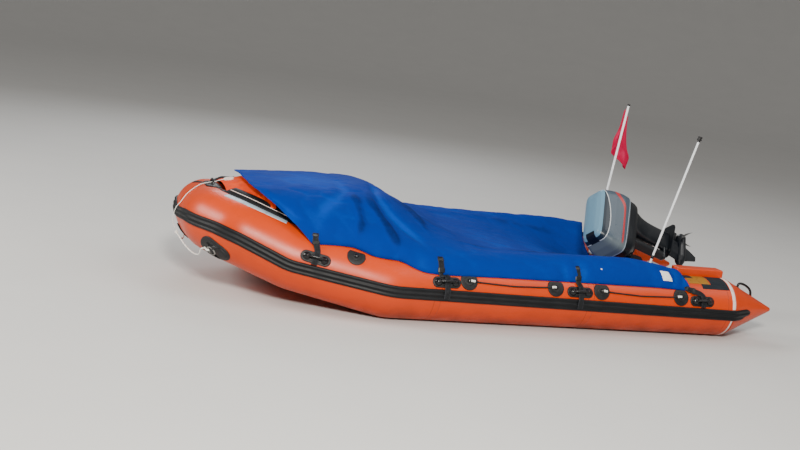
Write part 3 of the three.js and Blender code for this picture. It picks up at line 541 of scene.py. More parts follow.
class TubeLine:
    # the whole tube from port cone to starboard cone: centre, radius, and the side vectors out and
    # up at each distance along it, each run's own values blended over the bends
    def __init__(self, t):
        port = np.array(t["points"])
        other = port[-2::-1] * np.array([1, -1, 1, 1, 1])
        line = np.vstack([port, other])
        runs = np.diff(line[:, :3], axis=0)
        far = np.concatenate([[0], np.cumsum(np.linalg.norm(runs, axis=1))])
        along = unit(runs)
        out, up = [np.array([0.0, 1.0, 0.0])], [np.array([0.0, 0.0, 1.0])]
        for before, after in zip(along[:-1], along[1:]):
            n = unit(before + after)
            out.append(out[-1] - 2 * n * (out[-1] @ n))
            up.append(up[-1] - 2 * n * (up[-1] @ n))
        spare = 0.6
        u = np.arange(-spare, far[-1] + spare, t["step"])
        k = np.clip(np.searchsorted(far, u, side="right") - 1, 0, len(runs) - 1)
        centre = line[k, :3] + along[k] * (u - far[k])[:, None]
        rest = np.stack([np.interp(u, far, line[:, i]) for i in (3, 4)], 1)
        half = int(t["bendHalf"] / t["step"])
        table = softened(np.hstack([centre, rest, np.array(out)[k], np.array(up)[k]]), half)
        tangent = unit(np.gradient(table[:, :3], axis=0))
        o = table[:, 5:8]
        o = unit(o - tangent * (o * tangent).sum(1, keepdims=True))
        self.u, self.table = u, np.hstack([table[:, :5], o, np.cross(tangent, o), tangent])
        side = np.sign((self.table[:, 8:11] * table[:, 8:11]).sum(1, keepdims=True))
        self.table[:, 8:11] *= side
        self.far = far
        self.length = far[-1]
        self.middle = self.length / 2

    def at(self, u, column, width=1):
        u = np.asarray(u, float)
        found = np.stack([np.interp(u, self.u, self.table[:, column + i]) for i in range(width)], -1)
        return found[..., 0] if width == 1 else found

    def skin(self, u, angle, lift=0.0):
        # centre + (radius + lift) * (cos(angle) * out + sin(angle) * up), the angle in degrees
        u, angle, lift = np.broadcast_arrays(*(np.asarray(v, float) for v in (u, angle, lift)))
        a = np.radians(angle)[..., None]
        reach = (self.at(u, 3) + lift)[..., None]
        return self.at(u, 0, 3) + reach * (np.cos(a) * self.at(u, 5, 3) + np.sin(a) * self.at(u, 8, 3))

    def nearest(self, points):
        # for each point: how far along the tube the nearest centre point is, and the way out from it
        centres = self.table[:, :3]
        found = np.empty(len(points), int)
        for first in range(0, len(points), 4000):
            part = points[first : first + 4000]
            gaps = (part**2).sum(1)[:, None] - 2 * part @ centres.T + (centres**2).sum(1)[None]
            found[first : first + 4000] = gaps.argmin(1)
        out = points - centres[found]
        tangent = self.table[found, 11:14]
        out = out - tangent * (out * tangent).sum(1, keepdims=True)
        return found, out

    def clear(self, points, lift):
        # pushes points that lie in the skin, or nearer than lift, straight out of it
        flat = points.reshape(-1, 3).copy()
        found, out = self.nearest(flat)
        want = self.table[found, 3] + lift
        have = np.linalg.norm(out, axis=1)
        short = np.maximum(want - have, 0)
        flat += out / np.maximum(have, 1e-9)[:, None] * short[:, None]
        return flat.reshape(points.shape)


tube = TubeLine(tubeLine)


def runAt(run, distance):
    # distance along the whole tube of a place that is so many metres along one run
    return tube.far[run] + distance


# the tow bridle, the lanyard and its coil

ropes = {
    "bridle": {"radius": 0.0055, "middle": (3.958, 0.0, 0.356), "knot": 0.015},
    "lanyard": {"radius": 0.003},
    "tow": {"run": 3, "distance": 0.045, "angle": -45.0},
    "coil": {"centre": (3.600, -0.050, 0.789), "radius": 0.033, "slope": 0.24, "turns": 5},
}


def packedSkin(run, distance, angle, lift):
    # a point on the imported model's tube: its runs are straight, with the radius going evenly from one
    # end to the other
    line = np.array(tubeLine["points"])
    ahead = np.diff(line[:, :3], axis=0)
    along = unit(ahead)
    out, up = np.array([0.0, 1.0, 0.0]), np.array([0.0, 0.0, 1.0])
    for i in range(1, run + 1):
        n = unit(along[i - 1] + along[i])
        out, up = out - 2 * n * (out @ n), up - 2 * n * (up @ n)
    t = distance / np.linalg.norm(ahead[run])
    radius = line[run, 3] * (1 - t) + line[run + 1, 3] * t + lift
    a = math.radians(angle)
    return line[run, :3] + along[run] * distance + radius * (math.cos(a) * out + math.sin(a) * up)


def towPoint(along, around, lift):
    # a point beside the tow patch: metres along the tube, round it, and off the patch
    t = ropes["tow"]
    angle = t["angle"] + math.degrees(around / tubeRadius)
    return packedSkin(t["run"], t["distance"] + along, angle, 0.009 + lift)


def bridleRoute(r):
    port = [towPoint(0.064, 0, 0.009), towPoint(0.096, -0.012, 0.022)]
    port += [(3.838, 0.345, 0.276), (3.866, 0.225, 0.262), (3.908, 0.110, 0.292), (3.938, 0.038, 0.330)]
    return np.vstack([port, [r["middle"]], mirror(port)[::-1]])


def lanyardRoute(c, r):
    fromCoil = [(c["centre"][0] + c["radius"] + 0.012, c["centre"][1], c["centre"][2] - 0.009)]
    fromCoil += [(3.676, -0.038, 0.772), (3.710, -0.020, 0.764), (3.744, -0.004, 0.760)]
    over = [(210, 72, 14.5), (205, 61, 14), (200, 48, 6), (192, 30, 5.5)]
    over += [(188, 18, 6), (189, 9, 8), (193, 2, 17), (198, -4, 24)]
    over = [packedSkin(4, d / 1000, a, lift / 1000) for d, a, lift in over]
    knot = (r["middle"][0] + 0.002, 0, r["middle"][2] + 0.0156)
    fall = [(3.998, 0.008, 0.462), (3.986, 0.003, 0.410), knot]
    return np.vstack([fromCoil, over, fall])


def ropeFinish(name, colour, gapShadeAndDirt):
    # braided cordage: slanting yarns across and along the rope, rough in the gaps, with painted shade
    # darkening the gaps between the yarns, and dirt in clouds
    bench = Bench(name, Roughness=0.85, Specular_IOR_Level=0.25)
    lay = bench.uv()
    run, turn = lay.axis("X"), lay.axis("Y")
    yarn = ((run * 1150 + turn * 900).sine() * (run * 1150 - turn * 900).sine()).step(-0.7, 0.7)
    grime = bench.place().noise(38, 4).step(0.42, 0.72)
    # the darker colour stands for painted shade in the yarn gaps and for dirt in the grime clouds
    shade = (yarn * 0.55 + (1 - grime) * 0.45).colour(gapShadeAndDirt, colour)
    return bench.feed(Base_Color=shade, Normal=yarn.bump(0.0009, 0.7))


whiteRope = ropeFinish("rope_white", (0.93, 0.92, 0.88), (0.62, 0.60, 0.54))
coilLine = ropeFinish("line_white", (0.93, 0.93, 0.9), (0.64, 0.62, 0.57))


def addBridle(r):
    curve = smoothCurve(bridleRoute(r), 220)
    rings, uv = ropeRings(curve, r["radius"], strands=3, lay=3.2, sides=14)
    bridle = closedTube("tow_bridle", rings, uv)
    dress(bridle, whiteRope, "hull", ["bridle"])
    # the knot at the middle: two turns of the line round it, then the eye splices' whipping
    c = np.array(r["middle"])
    a = np.linspace(0, 4 * math.pi, 60)
    turns = np.stack([c[0] + 0.0085 * np.cos(a), c[1] + 0.007 * np.sin(a / 2), c[2] + 0.0085 * np.sin(a)], 1)
    rings, uv = ropeRings(turns, 0.0048, lay=3.2, sides=10)
    knot = closedTube("bridle_knot", rings, uv)
    dress(knot, whiteRope, "hull")


addBridle(ropes["bridle"])


def coilRoute(c):
    # flat turns that widen and narrow in two layers on the slope of the dodger's top
    a = np.linspace(0, 2 * math.pi * c["turns"], 13 * c["turns"] + 1)
    part = a / a[-1]
    radius = c["radius"] - 0.004 + 0.008 * np.abs(np.sin(part * math.pi * 1.5))
    rise = -0.003 + 0.0066 * np.floor(part * 1.999)
    rise = softened(rise[:, None], 4)[:, 0]
    x, y = radius * np.cos(a), -radius * np.sin(a)
    slope = math.atan(c["slope"])
    ahead = x * math.cos(slope) + rise * math.sin(slope)
    up = rise * math.cos(slope) - x * math.sin(slope)
    return np.array(c["centre"]) + (0, 0, 0.0019) + np.stack([ahead, y, up], 1)


def addLanyard(r, c):
    # the coil's turns run on into the line that goes over the bow to the bridle's knot
    line = lanyardRoute(c, ropes["bridle"])
    turns = coilRoute(c)[::-1]
    curve = smoothCurve(np.vstack([turns[:-2], line]), 1100)
    rings, uv = ropeRings(curve, r["radius"], strands=3, lay=3.0, sides=8)
    lanyard = closedTube("bow_lanyard", rings, uv)
    dress(lanyard, coilLine, "hull", ["lanyard", "lanyard_coil"])


addLanyard(ropes["lanyard"], ropes["coil"])
print("stage: ropes")

# air tube, cones and their finish

# every pair of pieces is made on the port side and mirrored
sides = (("port", False), ("starboard", True))
skinColours = {"bright": (0.60, 0.046, 0.0), "faded": (0.46, 0.037, 0.0002), "grime": (0.12, 0.02, 0.006)}


def skinFinish(name, colours, seams=(), rough=0.36):
    # coated fabric: its colour clouded and faded, scuffed along the run, grimy low down, with glued ring
    # seams that stand proud, dark lines painted along their edges as painted shade, and the cloth's print
    # underneath
    bench = Bench(name, Specular_IOR_Level=0.34)
    spot, lay = bench.place(), bench.uv()
    run = lay.axis("X")
    height = spot.axis("Z")
    cloud = spot.noise(1.7, 5, 0.6)
    scuff = spot.noise(14, 6, 0.7, (0.25, 1, 1)).step(0.56, 0.74)
    low = (1 - height.step(0.02, 0.2)) * spot.noise(6, 4).step(0.3, 0.75)
    base = (cloud.step(0.35, 0.75) * 0.7).colour(colours["bright"], colours["faded"])
    grime = (low * 0.6 + scuff * 0.12).held()
    weave = (run * 2500).sine() * (lay.axis("Y") * 2500).sine()
    normal = (weave * 0.02 + spot.noise(3.5, 3) * 0.35 + spot.noise(9, 4) * 0.12).bump(0.004, 0.35)
    if len(seams):
        band, edge = 0.0, 0.0
        for seam in seams:
            band = run.line(seam, 0.022, 0.002) + band
            # dark lines along both edges of each seam: painted shade of the seam's step
            edge = run.line(seam - 0.024, 0.001, 0.003) + run.line(seam + 0.024, 0.001, 0.003) + edge
        normal = band.bump(0.0012, 1.0, normal)
        # the grime mask takes in the painted seam shade, with the dirt low down and the scuffs
        grime = grime.largest(edge * 0.5)
    shade = grime.colour(base, colours["grime"])
    glaze = spot.noise(5, 4) * 0.2 + (rough - 0.1) + low * 0.2
    return bench.feed(Base_Color=shade, Roughness=glaze.held(), Normal=normal)


seamPlaces = [0.05, 1.34, 2.61, 6.52, 7.79, 9.08]
orangeSkin = skinFinish("skin_orange", skinColours, seamPlaces)


def stations(each, bow, straight=2.75):
    # distances along the whole tube: so many on each straight side, and so many round the bow
    far = tube.length - straight
    runs = [np.linspace(0, straight, each), np.linspace(straight, far, bow)]
    runs.append(np.linspace(far, tube.length, each))
    return np.unique(np.concatenate(runs))


def addTube():
    # the tube's skin as a function of distance along it and angle round it
    u = stations(70, 190)
    angle = np.linspace(0, 360, 112, endpoint=False)
    grid = tube.skin(u[:, None], angle[None, :])
    uv = np.stack(np.broadcast_arrays(u[:, None], np.radians(angle)[None] * tubeRadius), -1)
    nodes = ["tube_port", "tube_starboard", "bow_tube"]
    dress(closedTube("air_tube", grid, uv), orangeSkin, "hull", nodes)


cone = {"x": -0.4243, "y": 0.777, "z": 0.236, "length": 0.510, "tip": 0.020, "radius": tubeRadius}


def coneRings(c, rows=60, columns=96):
    # a straight cone to a ball tip, hardly rounded where it leaves the tube
    slope = math.atan2(c["radius"] - c["tip"], c["length"] - c["tip"])
    edge = c["length"] - c["tip"] + c["tip"] * math.sin(slope)
    ball = edge + (c["length"] - edge) * np.sin(np.linspace(0.1, math.pi / 2, 12))
    x = np.concatenate([np.linspace(0, edge, rows), ball])
    tip = np.sqrt(np.maximum(c["tip"] ** 2 - (x - (c["length"] - c["tip"])) ** 2, 0))
    r = np.where(x <= edge, c["radius"] + (c["tip"] * math.cos(slope) - c["radius"]) * x / edge, tip)
    r = np.maximum(r, 1e-5)
    a = np.linspace(0, 2 * math.pi, columns, endpoint=False)
    y = c["y"] + r[:, None] * np.cos(a)
    z = c["z"] + r[:, None] * np.sin(a)
    grid = np.stack([np.broadcast_to((c["x"] - x)[:, None], y.shape), y, z], -1)
    uv = np.stack(np.broadcast_arrays(-x[:, None], a[None] * c["radius"]), -1)
    return grid, uv


def coneSkin(back, angle, lift, keepWidth=False, c=cone):
    # a point on the port cone: metres behind its base, degrees round it, and off it; with keepWidth
    # the angle is widened so that the same degrees stay the same width as on the tube
    back, angle, lift = np.broadcast_arrays(*(np.asarray(v, float) for v in (back, angle, lift)))
    radius = c["radius"] * (1 - back / c["length"])
    a = np.radians(angle) * (c["radius"] / radius if keepWidth else 1)
    reach = radius + lift
    return np.stack([c["x"] - back, c["y"] + reach * np.cos(a), c["z"] + reach * np.sin(a)], -1)


def addCones():
    grid, uv = coneRings(cone)
    for side, mirrored in sides:
        piece = closedTube(f"stern_cone_{side}", grid, uv, mirrored)
        dress(piece, orangeSkin, "hull", [f"cone_{side}"])


addTube()
addCones()
print("stage: tubes and cones")

# rubbing strake and black rubber


def rubberFinish(name, colour=(0.0022, 0.003, 0.0045), scuffed=(0.022, 0.023, 0.026), rough=0.5):
    # black rubber: chalky bloom in clouds, scuffs that run along, fine grain in the moulding
    bench = Bench(name, Specular_IOR_Level=0.3)
    place = bench.place()
    bloom = place.noise(7, 5, 0.65).step(0.42, 0.8)
    marks = place.noise(45, 5, 0.7, (0.2, 1, 1)).step(0.58, 0.78)
    shade = (bloom * 0.28 + marks * 0.35).held().colour(colour, scuffed)
    grain = place.noise(900, 2) * 0.5 + place.noise(160, 3) * 0.5
    glaze = (bloom * 0.25 + rough).held()
    return bench.feed(Base_Color=shade, Roughness=glaze, Normal=grain.bump(0.0006, 0.5))


blackRubber = rubberFinish("rubber_black")
patchRubber = rubberFinish("patch_black", (0.003, 0.003, 0.005), (0.03, 0.03, 0.032), 0.42)

strakeShape = {
    # degrees round the tube, how far the rubber stands off it, and how far back its slanting end
    # lies over the cone, in metres
    "profile": [
        (-10.0, 0.000, 0.055),
        (-9.9, 0.0075, 0.056),
        (-9.0, 0.0125, 0.066),
        (-7.8, 0.0160, 0.084),
        (-6.6, 0.0165, 0.100),
        (-5.6, 0.0150, 0.114),
        (-4.4, 0.0112, 0.131),
        (-2.9, 0.0106, 0.151),
        (-1.8, 0.0122, 0.166),
        (-0.8, 0.0164, 0.180),
        (0.5, 0.0172, 0.195),
        (1.8, 0.0164, 0.201),
        (2.8, 0.0124, 0.206),
        (4.0, 0.0106, 0.212),
        (5.6, 0.0112, 0.201),
        (6.8, 0.0148, 0.193),
        (8.0, 0.0164, 0.185),
        (9.2, 0.0154, 0.171),
        (10.2, 0.0120, 0.159),
        (10.9, 0.0075, 0.151),
        (11.0, 0.000, 0.150),
    ],
    "root": -0.002,
    "coneShares": (1.0, 0.995, 0.98, 0.75, 0.5, 0.25),
    "endLift": (0.4, 0.75, 1.0, 1.0, 1.0, 1.0),
}


def strakeAngle(u):
    # how far round the tube the strake's middle line lies, in degrees
    return 0.5 - tube.at(u, 4)


def addStrake(s):
    # the ribbed profile carried along the whole tube, its back a little inside the skin; over the
    # cones the band keeps its width while the radius shrinks
    profile = np.array(s["profile"])
    profile = np.vstack([profile[:1] + (0, s["root"], 0), profile, profile[-1:] + (0, s["root"], 0)])
    angle, lift, end = profile.T
    u = stations(90, 230)
    wobble = 0.0006 * waves(u, 0 * u, 4, 0.6)[:, None] * (lift > 0.005)
    grid = tube.skin(u[:, None], angle[None] - tube.at(u, 4)[:, None], lift[None] + wobble)
    share = np.array(s["coneShares"])[:, None]
    proud = np.where(lift > 0, lift * np.array(s["endLift"])[:, None], lift)
    port = coneSkin(end * share, angle - tubeLine["points"][0][4], proud, keepWidth=True)
    grid = np.concatenate([port, grid, mirror(port)[::-1]])
    gone = np.concatenate([-0.2 * share[:, 0], u, tube.length + 0.2 * share[::-1, 0]])
    uv = np.stack(np.broadcast_arrays(gone[:, None], np.linspace(0, 0.1, len(profile))[None]), -1)
    dress(closedTube("rubbing_strake", grid, uv), blackRubber, "hull", strakeNodes)


strakeNodes = ["strake_port", "strake_starboard", "strake_bow"]
addStrake(strakeShape)
print("stage: strake")

# cover

coverCut = {
    # rows along the boat: x at the middle, then the port ridge's y and z, how much higher the starboard
    # ridge is, the height at the middle, and how far the sides are drawn aft
    "rows": [
        (0.200, 0.772, 0.542, 0.040, 0.300, -0.120),
        (0.480, 0.772, 0.606, 0.0, 0.300, 0.0),
        (0.850, 0.772, 0.592, 0.008, 0.430, 0.0),
        (1.300, 0.772, 0.553, 0.049, 0.505, 0.0),
        (1.750, 0.772, 0.545, 0.060, 0.540, 0.0),
        (2.150, 0.765, 0.560, 0.050, 0.690, 0.0),
        (2.340, 0.735, 0.600, 0.030, 0.800, 0.0),
        (2.500, 0.690, 0.655, 0.0, 0.884, 0.0),
        (2.720, 0.630, 0.725, 0.0, 0.890, -0.030),
        (2.950, 0.575, 0.762, 0.0, 0.886, -0.110),
        (3.250, 0.530, 0.780, 0.0, 0.868, -0.250),
        (3.528, 0.500, 0.775, 0.0, 0.842, -0.443),
    ],
    # where the hem lies on the tube: its x, and degrees round the tube
    "hem": [
        (0.0, 40),
        (0.2, 42),
        (0.323, 43),
        (1.18, 42),
        (1.7, 41),
        (2.13, 39),
        (2.3, 41),
        (2.39, 50),
        (2.47, 66),
        (2.56, 62),
        (2.665, 57),
        (2.74, 62),
        (2.80, 66),
        (2.9, 60),
        (3.134, 43),
        (3.3, 43),
    ],
    "across": 196,
    "along": 214,
    "ridgeAt": 0.78,
    "lift": 0.006,
    # folds as lines over the cloth: points, height (negative is a groove), width, on both sides or not
    "folds": [
        (
            [
                (2.50, 0.12, 0.885), (2.54, 0.369, 0.85), (2.50, 0.551, 0.759),
                (2.422, 0.635, 0.672), (2.318, 0.737, 0.596), (2.24, 0.823, 0.54),
            ],
            0.020, 0.040, 1,
        ),
        (
            [
                (2.757, 0.42, 0.82), (2.756, 0.549, 0.77), (2.749, 0.73, 0.66),
                (2.79, 0.796, 0.56),
            ],
            -0.016, 0.035, 1,
        ),
        (
            [
                (2.625, 0.407, 0.83), (2.62, 0.525, 0.77), (2.555, 0.678, 0.68),
                (2.503, 0.80, 0.58), (2.468, 0.873, 0.5),
            ],
            -0.020, 0.040, 1,
        ),
        (
            [
                (2.824, 0.164, 0.885), (2.808, 0.371, 0.84), (3.0, 0.578, 0.75),
                (3.069, 0.719, 0.63),
            ],
            0.012, 0.05, 1,
        ),
        (
            [
                (3.485, 0.395, 0.80), (3.324, 0.58, 0.74), (3.172, 0.709, 0.63),
            ],
            0.008, 0.025, 1,
        ),
        (
            [
                (2.30, 0.0, 0.78), (2.26, 0.25, 0.76), (2.22, 0.5, 0.68),
                (2.2, 0.66, 0.6),
            ],
            -0.014, 0.05, 1,
        ),
        (
            [
                (0.35, 0.60, 0.46), (0.9, 0.64, 0.5), (1.5, 0.64, 0.54),
                (2.1, 0.6, 0.63),
            ],
            -0.010, 0.05, 1,
        ),
    ],
    "thick": 0.0022,
}


def coverRows(c):
    # every value of the table run smoothly along the boat, one row for each step
    rows = np.array(c["rows"])
    x = np.linspace(rows[0, 0], rows[-1, 0], 600)
    table = np.stack([np.interp(x, rows[:, 0], rows[:, i]) for i in range(6)], 1)
    before = table[:1] + np.outer(np.arange(-30, 0), table[1] - table[0])
    after = table[-1:] + np.outer(np.arange(1, 31), table[-1] - table[-2])
    table = softened(np.vstack([before, table, after]), 13)[30:-30]
    want = np.linspace(0, 599, c["along"])
    return np.stack([np.interp(want, np.arange(600), table[:, i]) for i in range(6)], 1)


def hemLine(c, x0, sweep):
    # hem points for each row: the x is swept with the side, the place on the skin is found by x
    hem = np.array(c["hem"])
    x = x0 + sweep * 1.15
    y = 0.9
    for _ in range(3):
        angle = np.interp(x, hem[:, 0], hem[:, 1])
        u = np.linspace(0.0, 4.2, 1400)
        placed = tube.skin(u[None, :], angle[:, None], c["lift"])
        found = np.abs(placed[..., 0] - x[:, None]).argmin(1)
        point = placed[np.arange(len(x)), found]
        y = point[:, 1]
        x = x0 + sweep * np.minimum(y / 0.8, 1.2) ** 3.4
    angle = softened(angle[:, None], 1)[:, 0]
    fine = tube.skin(u[found], angle, c["lift"])
    return softened(fine, 2)


def coverGrid(c):
    # rows of points from the port hem over the middle to the starboard hem
    rows = coverRows(c)
    x0, ridgeY, ridge, far, middle, sweep = rows.T
    w = np.linspace(1, -1, c["across"])
    t = np.clip(w / c["ridgeAt"], -1, 1)
    high = ridge[:, None] + far[:, None] * (w < 0)[None, :]
    y = t[None] * ridgeY[:, None]
    z = middle[:, None] + (high - middle[:, None]) * np.abs(t)[None] ** 2.6
    x = x0[:, None] + sweep[:, None] * np.minimum(np.abs(y) / 0.8, 1.2) ** 3.4
    grid = np.stack([x, y, z], -1)
    hem = hemLine(c, x0, sweep)
    down = np.clip((np.abs(w) - c["ridgeAt"]) / (1 - c["ridgeAt"]), 0, 1)
    ridgeX = x0 + sweep * np.minimum(ridgeY / 0.8, 1.2) ** 3.4
    for side in (1, -1):
        at = np.where(w * side > c["ridgeAt"])[0]
        foot = hem * np.array([1, side, 1])
        top = np.stack([ridgeX, side * ridgeY, ridge + (far if side < 0 else 0)], 1)
        # a curve from the ridge to the hem, pulled out to its belly half way
        pull = (top + foot) / 2 + 2 * np.array([0, side * 0.034, 0.022])
        d = down[at][None, :, None]
        grid[:, at] = (1 - d) ** 2 * top[:, None] + 2 * d * (1 - d) * pull[:, None] + d**2 * foot[:, None]
    # round the ridge a little across the cloth
    turned = grid.transpose(1, 0, 2).reshape(c["across"], -1)
    ends = turned[[0, -1]].copy()
    turned = softened(turned, 3)
    turned[[0, -1]] = ends
    return turned.reshape(c["across"], c["along"], 3).transpose(1, 0, 2), w


def unrolled(grid):
    # for each point: metres along the cloth from its aft edge, and metres across from the middle
    step = np.linalg.norm(np.diff(grid, axis=1), axis=-1)
    across = np.concatenate([np.zeros((len(grid), 1)), np.cumsum(step, axis=1)], 1)
    across = across - across[:, [grid.shape[1] // 2]]
    return grid[..., 0].copy(), across


def foldRelief(grid, along, across, folds):
    # the sum of every fold: its height times a bell of the distance to its line on the flat cloth,
    # fading towards its ends
    relief = np.zeros(grid.shape[:2])
    flat = grid.reshape(-1, 3)
    for points, height, width, both in folds:
        for side in (1, -1) if both else (1,):
            spots = np.array(points) * np.array([1, side, 1])
            found = [((flat - p) ** 2).sum(1).argmin() for p in spots]
            line = np.stack([along.ravel()[found], across.ravel()[found]], 1)
            line = smoothCurve(line, 60) if len(line) > 2 else evenly(line, 60)
            gap2 = (along[..., None] - line[:, 0]) ** 2 + (across[..., None] - line[:, 1]) ** 2
            nearest = gap2.argmin(-1)
            part = nearest / 59
            fade = ease(0.0, 0.2, part) * (1 - ease(0.75, 1.0, part)) + 0.15
            off = np.sqrt(gap2.min(-1))
            relief += height * fade * np.exp(-((off / width) ** 2)) * (1 if side > 0 else 0.8)
    return relief


def coverRelief(grid, w, c):
    along, across = unrolled(grid)
    relief = foldRelief(grid, along, across, c["folds"])
    edge = (np.abs(w)[None, :] - c["ridgeAt"]) / (1 - c["ridgeAt"])
    skirt = ease(-0.15, 0.7, edge)
    # drawn folds on the skirt run from the hem up to the ridge, and die out over it
    lean = along + 0.22 * np.abs(across)
    gathers = np.sin(lean * 2 * math.pi / 0.19 + 2.2 * waves(along, across, 31, 0.8))
    gathers = gathers * ease(-0.35, 0.3, waves(along, across, 32, 1.1))
    relief += 0.0075 * gathers * skirt * (1 - 0.55 * ease(0.8, 1.0, edge))
    # slack between the ridges: long soft hollows and crossing creases
    hump = bell(along - 2.75, 0.75)
    relief += 0.012 * waves(along, across, 33, 0.9) * (1 - skirt) * (0.55 + 0.45 * hump)
    crease = 1 - np.abs(waves(along * 0.8, across * 1.5, 34, 0.42))
    relief += 0.006 * (crease**3 - 0.35) * (1 - 0.6 * skirt)
    fine = 1 - np.abs(waves(along + 0.4 * across, across, 35, 0.16))
    relief += 0.0022 * (fine**3 - 0.3)
    return relief, along, across


def clothFinish(name, foldShadowColour, base, bright, sheen=0.04, weave=0.0009, rough=0.72):
    # coated cloth: painted shade in its folds and a painted highlight on its ridges, read from the relief
    # field, dusty in clouds, with crossed threads, and small crumples in its surface whose noise also tints
    # the colour as painted shade
    bench = Bench(name, Sheen_Weight=sheen, Sheen_Roughness=0.4, Specular_IOR_Level=0.08)
    place, lay = bench.place(), bench.uv()
    foldShading = bench.field("relief")
    cloud = place.noise(2.4, 5, 0.6)
    threads = (lay.axis("X") * (2 * math.pi / weave)).sine() * (lay.axis("Y") * (2 * math.pi / weave)).sine()
    crumple = place.noise(26, 5, 0.62) * 0.6 + place.noise(70, 4, 0.6) * 0.4
    # painted shade and highlight: the folds' relief and the crumples darken and lighten the colour, with
    # real dust clouds mixed in
    shade = (foldShading * 0.75 + cloud * 0.35 + crumple * 0.22).held()
    # foldShadowColour is the painted shadow in the folds, bright the painted highlight on the ridges
    colour = shade.step(0.12, 0.55).colour(foldShadowColour, base)
    colour = shade.step(0.62, 1.05).colour(colour, bright)
    normal = (crumple * 1.0 + place.noise(11, 4, 0.6) * 1.2).bump(0.006, 0.42)
    normal = threads.bump(0.0002, 0.5, normal)
    return bench.feed(Base_Color=colour, Roughness=(cloud * 0.18 + (rough - 0.09)).held(), Normal=normal)


# the three colours: painted shadow in the folds, the cloth's own blue, painted highlight on the ridges
coverCloth = clothFinish(
    "cover_blue", (0.0002, 0.008, 0.060), (0.0002, 0.025, 0.235), (0.0006, 0.048, 0.34), sheen=0.0
)
coverGeometry = {}


def addCover(c):
    grid, w = coverGrid(c)
    relief, along, across = coverRelief(grid, w, c)
    fixed = np.minimum(ease(0, 0.05, 1 - np.abs(w)), 1)[None, :]
    grid = grid + gridNormals(grid) * (relief * (0.35 + 0.65 * fixed))[..., None]
    grid = tube.clear(grid, c["lift"])
    # painted shade and highlight for the material: grooves darker, ridges paler
    shade = np.clip(0.5 + relief / 0.03, 0, 1)
    uv = np.stack([along, across], -1)
    piece = clothPiece("boat_cover", grid, uv, {"relief": shade}, c["thick"])
    dress(piece, coverCloth, "hull", ["cover"])
    coverGeometry.update(grid=grid, normals=gridNormals(grid))
    return piece, gridArea(grid)


cover, coverArea = addCover(coverCut)
print("stage: cover")

# dodger over the bow

dodgerCut = {
    # x, half width, height at the shoulder and at the middle
    "rows": [
        (3.335, 0.420, 0.760, 0.822),
        (3.470, 0.380, 0.752, 0.814),
        (3.620, 0.290, 0.738, 0.780),
        (3.672, 0.225, 0.732, 0.766),
    ],
    "along": 60,
    "across": 120,
}


def addDodger(c):
    # arches across the bow whose sides run out over the tubes and lie on them
    rows = np.array(c["rows"])
    x = np.linspace(rows[0, 0], rows[-1, 0], c["along"])
    table = np.stack([np.interp(x, rows[:, 0], rows[:, i]) for i in range(4)], 1)
    table = softened(table, 4)
    x, half, shoulder, top = table.T
    w = np.linspace(1, -1, c["across"])
    t = w * 1.22
    y = t[None] * half[:, None]
    z = shoulder[:, None] + (top - shoulder)[:, None] * (1 - np.minimum(np.abs(t), 1.0) ** 2)[None]
    z = z - 0.42 * np.maximum(np.abs(t) - 1, 0)[None] ** 1.2
    grid = np.stack([np.broadcast_to(x[:, None], y.shape), y, z], -1)
    relief = 0.004 * waves(grid[..., 0], grid[..., 1], 51, 0.22)
    relief = relief + 0.002 * waves(grid[..., 0], grid[..., 1], 52, 0.08)
    grid = grid + gridNormals(grid) * relief[..., None]
    grid = tube.clear(grid, 0.004)
    uv = np.stack([grid[..., 0], grid[..., 1]], -1)
    # painted shade and highlight for the material: grooves darker, ridges paler
    shade = np.clip(0.5 + relief / 0.012, 0, 1)
    piece = clothPiece("bow_dodger_cloth", grid, uv, {"relief": shade}, 0.002)
    dress(piece, dodgerCloth, "hull", ["bow_dodger"])
    gridArea(grid) * 0.985


# the three colours: painted shadow in the folds, the cloth's own red, painted highlight on the ridges
dodgerCloth = clothFinish("dodger_red", (0.26, 0.014, 0.001), (0.66, 0.042, 0.001), (0.78, 0.075, 0.006))
addDodger(dodgerCut)
print("stage: dodger")

# patches, handles and grab lines


def onTube(u, angle):
    # places round one spot of the tube: metres along and round from it, and off the skin
    def surface(along, around, lift):
        return tube.skin(u + along, angle + np.degrees(around / tubeRadius), lift)

    return surface


def onCone(back, angle, radius=0.15):
    # the same on the port cone, with the radius that it has there
    def surface(along, around, lift):
        return coneSkin(back - along, angle + np.degrees(around / radius), lift)

    return surface


def ovalLine(width, height, top=1.0, count=64):
    # an oblong with round ends, cut flat above top
    a = np.linspace(0, 2 * math.pi, count, endpoint=False)
    r = height / 2
    x = np.sign(np.cos(a)) * (width / 2 - r) + r * np.cos(a)
    return np.stack([x, np.minimum(r * np.sin(a), top)], 1)


def patchOn(lump, surface, outline, thick, part=0.0, dome=0.0):
    # a sheet of rubber glued to a skin: its outline shrunk to the middle in rings, rounded at the rim,
    # raised in the middle by dome, and with its underside just inside the skin
    share = np.array([0.02, 0.25, 0.5, 0.72, 0.88, 0.955, 0.985, 1.0, 1.0, 0.75, 0.4, 0.02])
    lift = np.array([1, 1, 1, 1, 1, 0.94, 0.75, 0.4, -0.25, -0.25, -0.25, -0.25]) * thick
    lift[:8] += dome * (1 - share[:8] ** 2)
    spot = outline[None] * share[:, None, None]
    grid = surface(spot[..., 0], spot[..., 1], lift[:, None])
    uv = np.concatenate([spot[:1], spot, spot[-1:]])
    return lump.addGrid(closedGrid(grid), closeColumns=True, uv=uv, part=part)


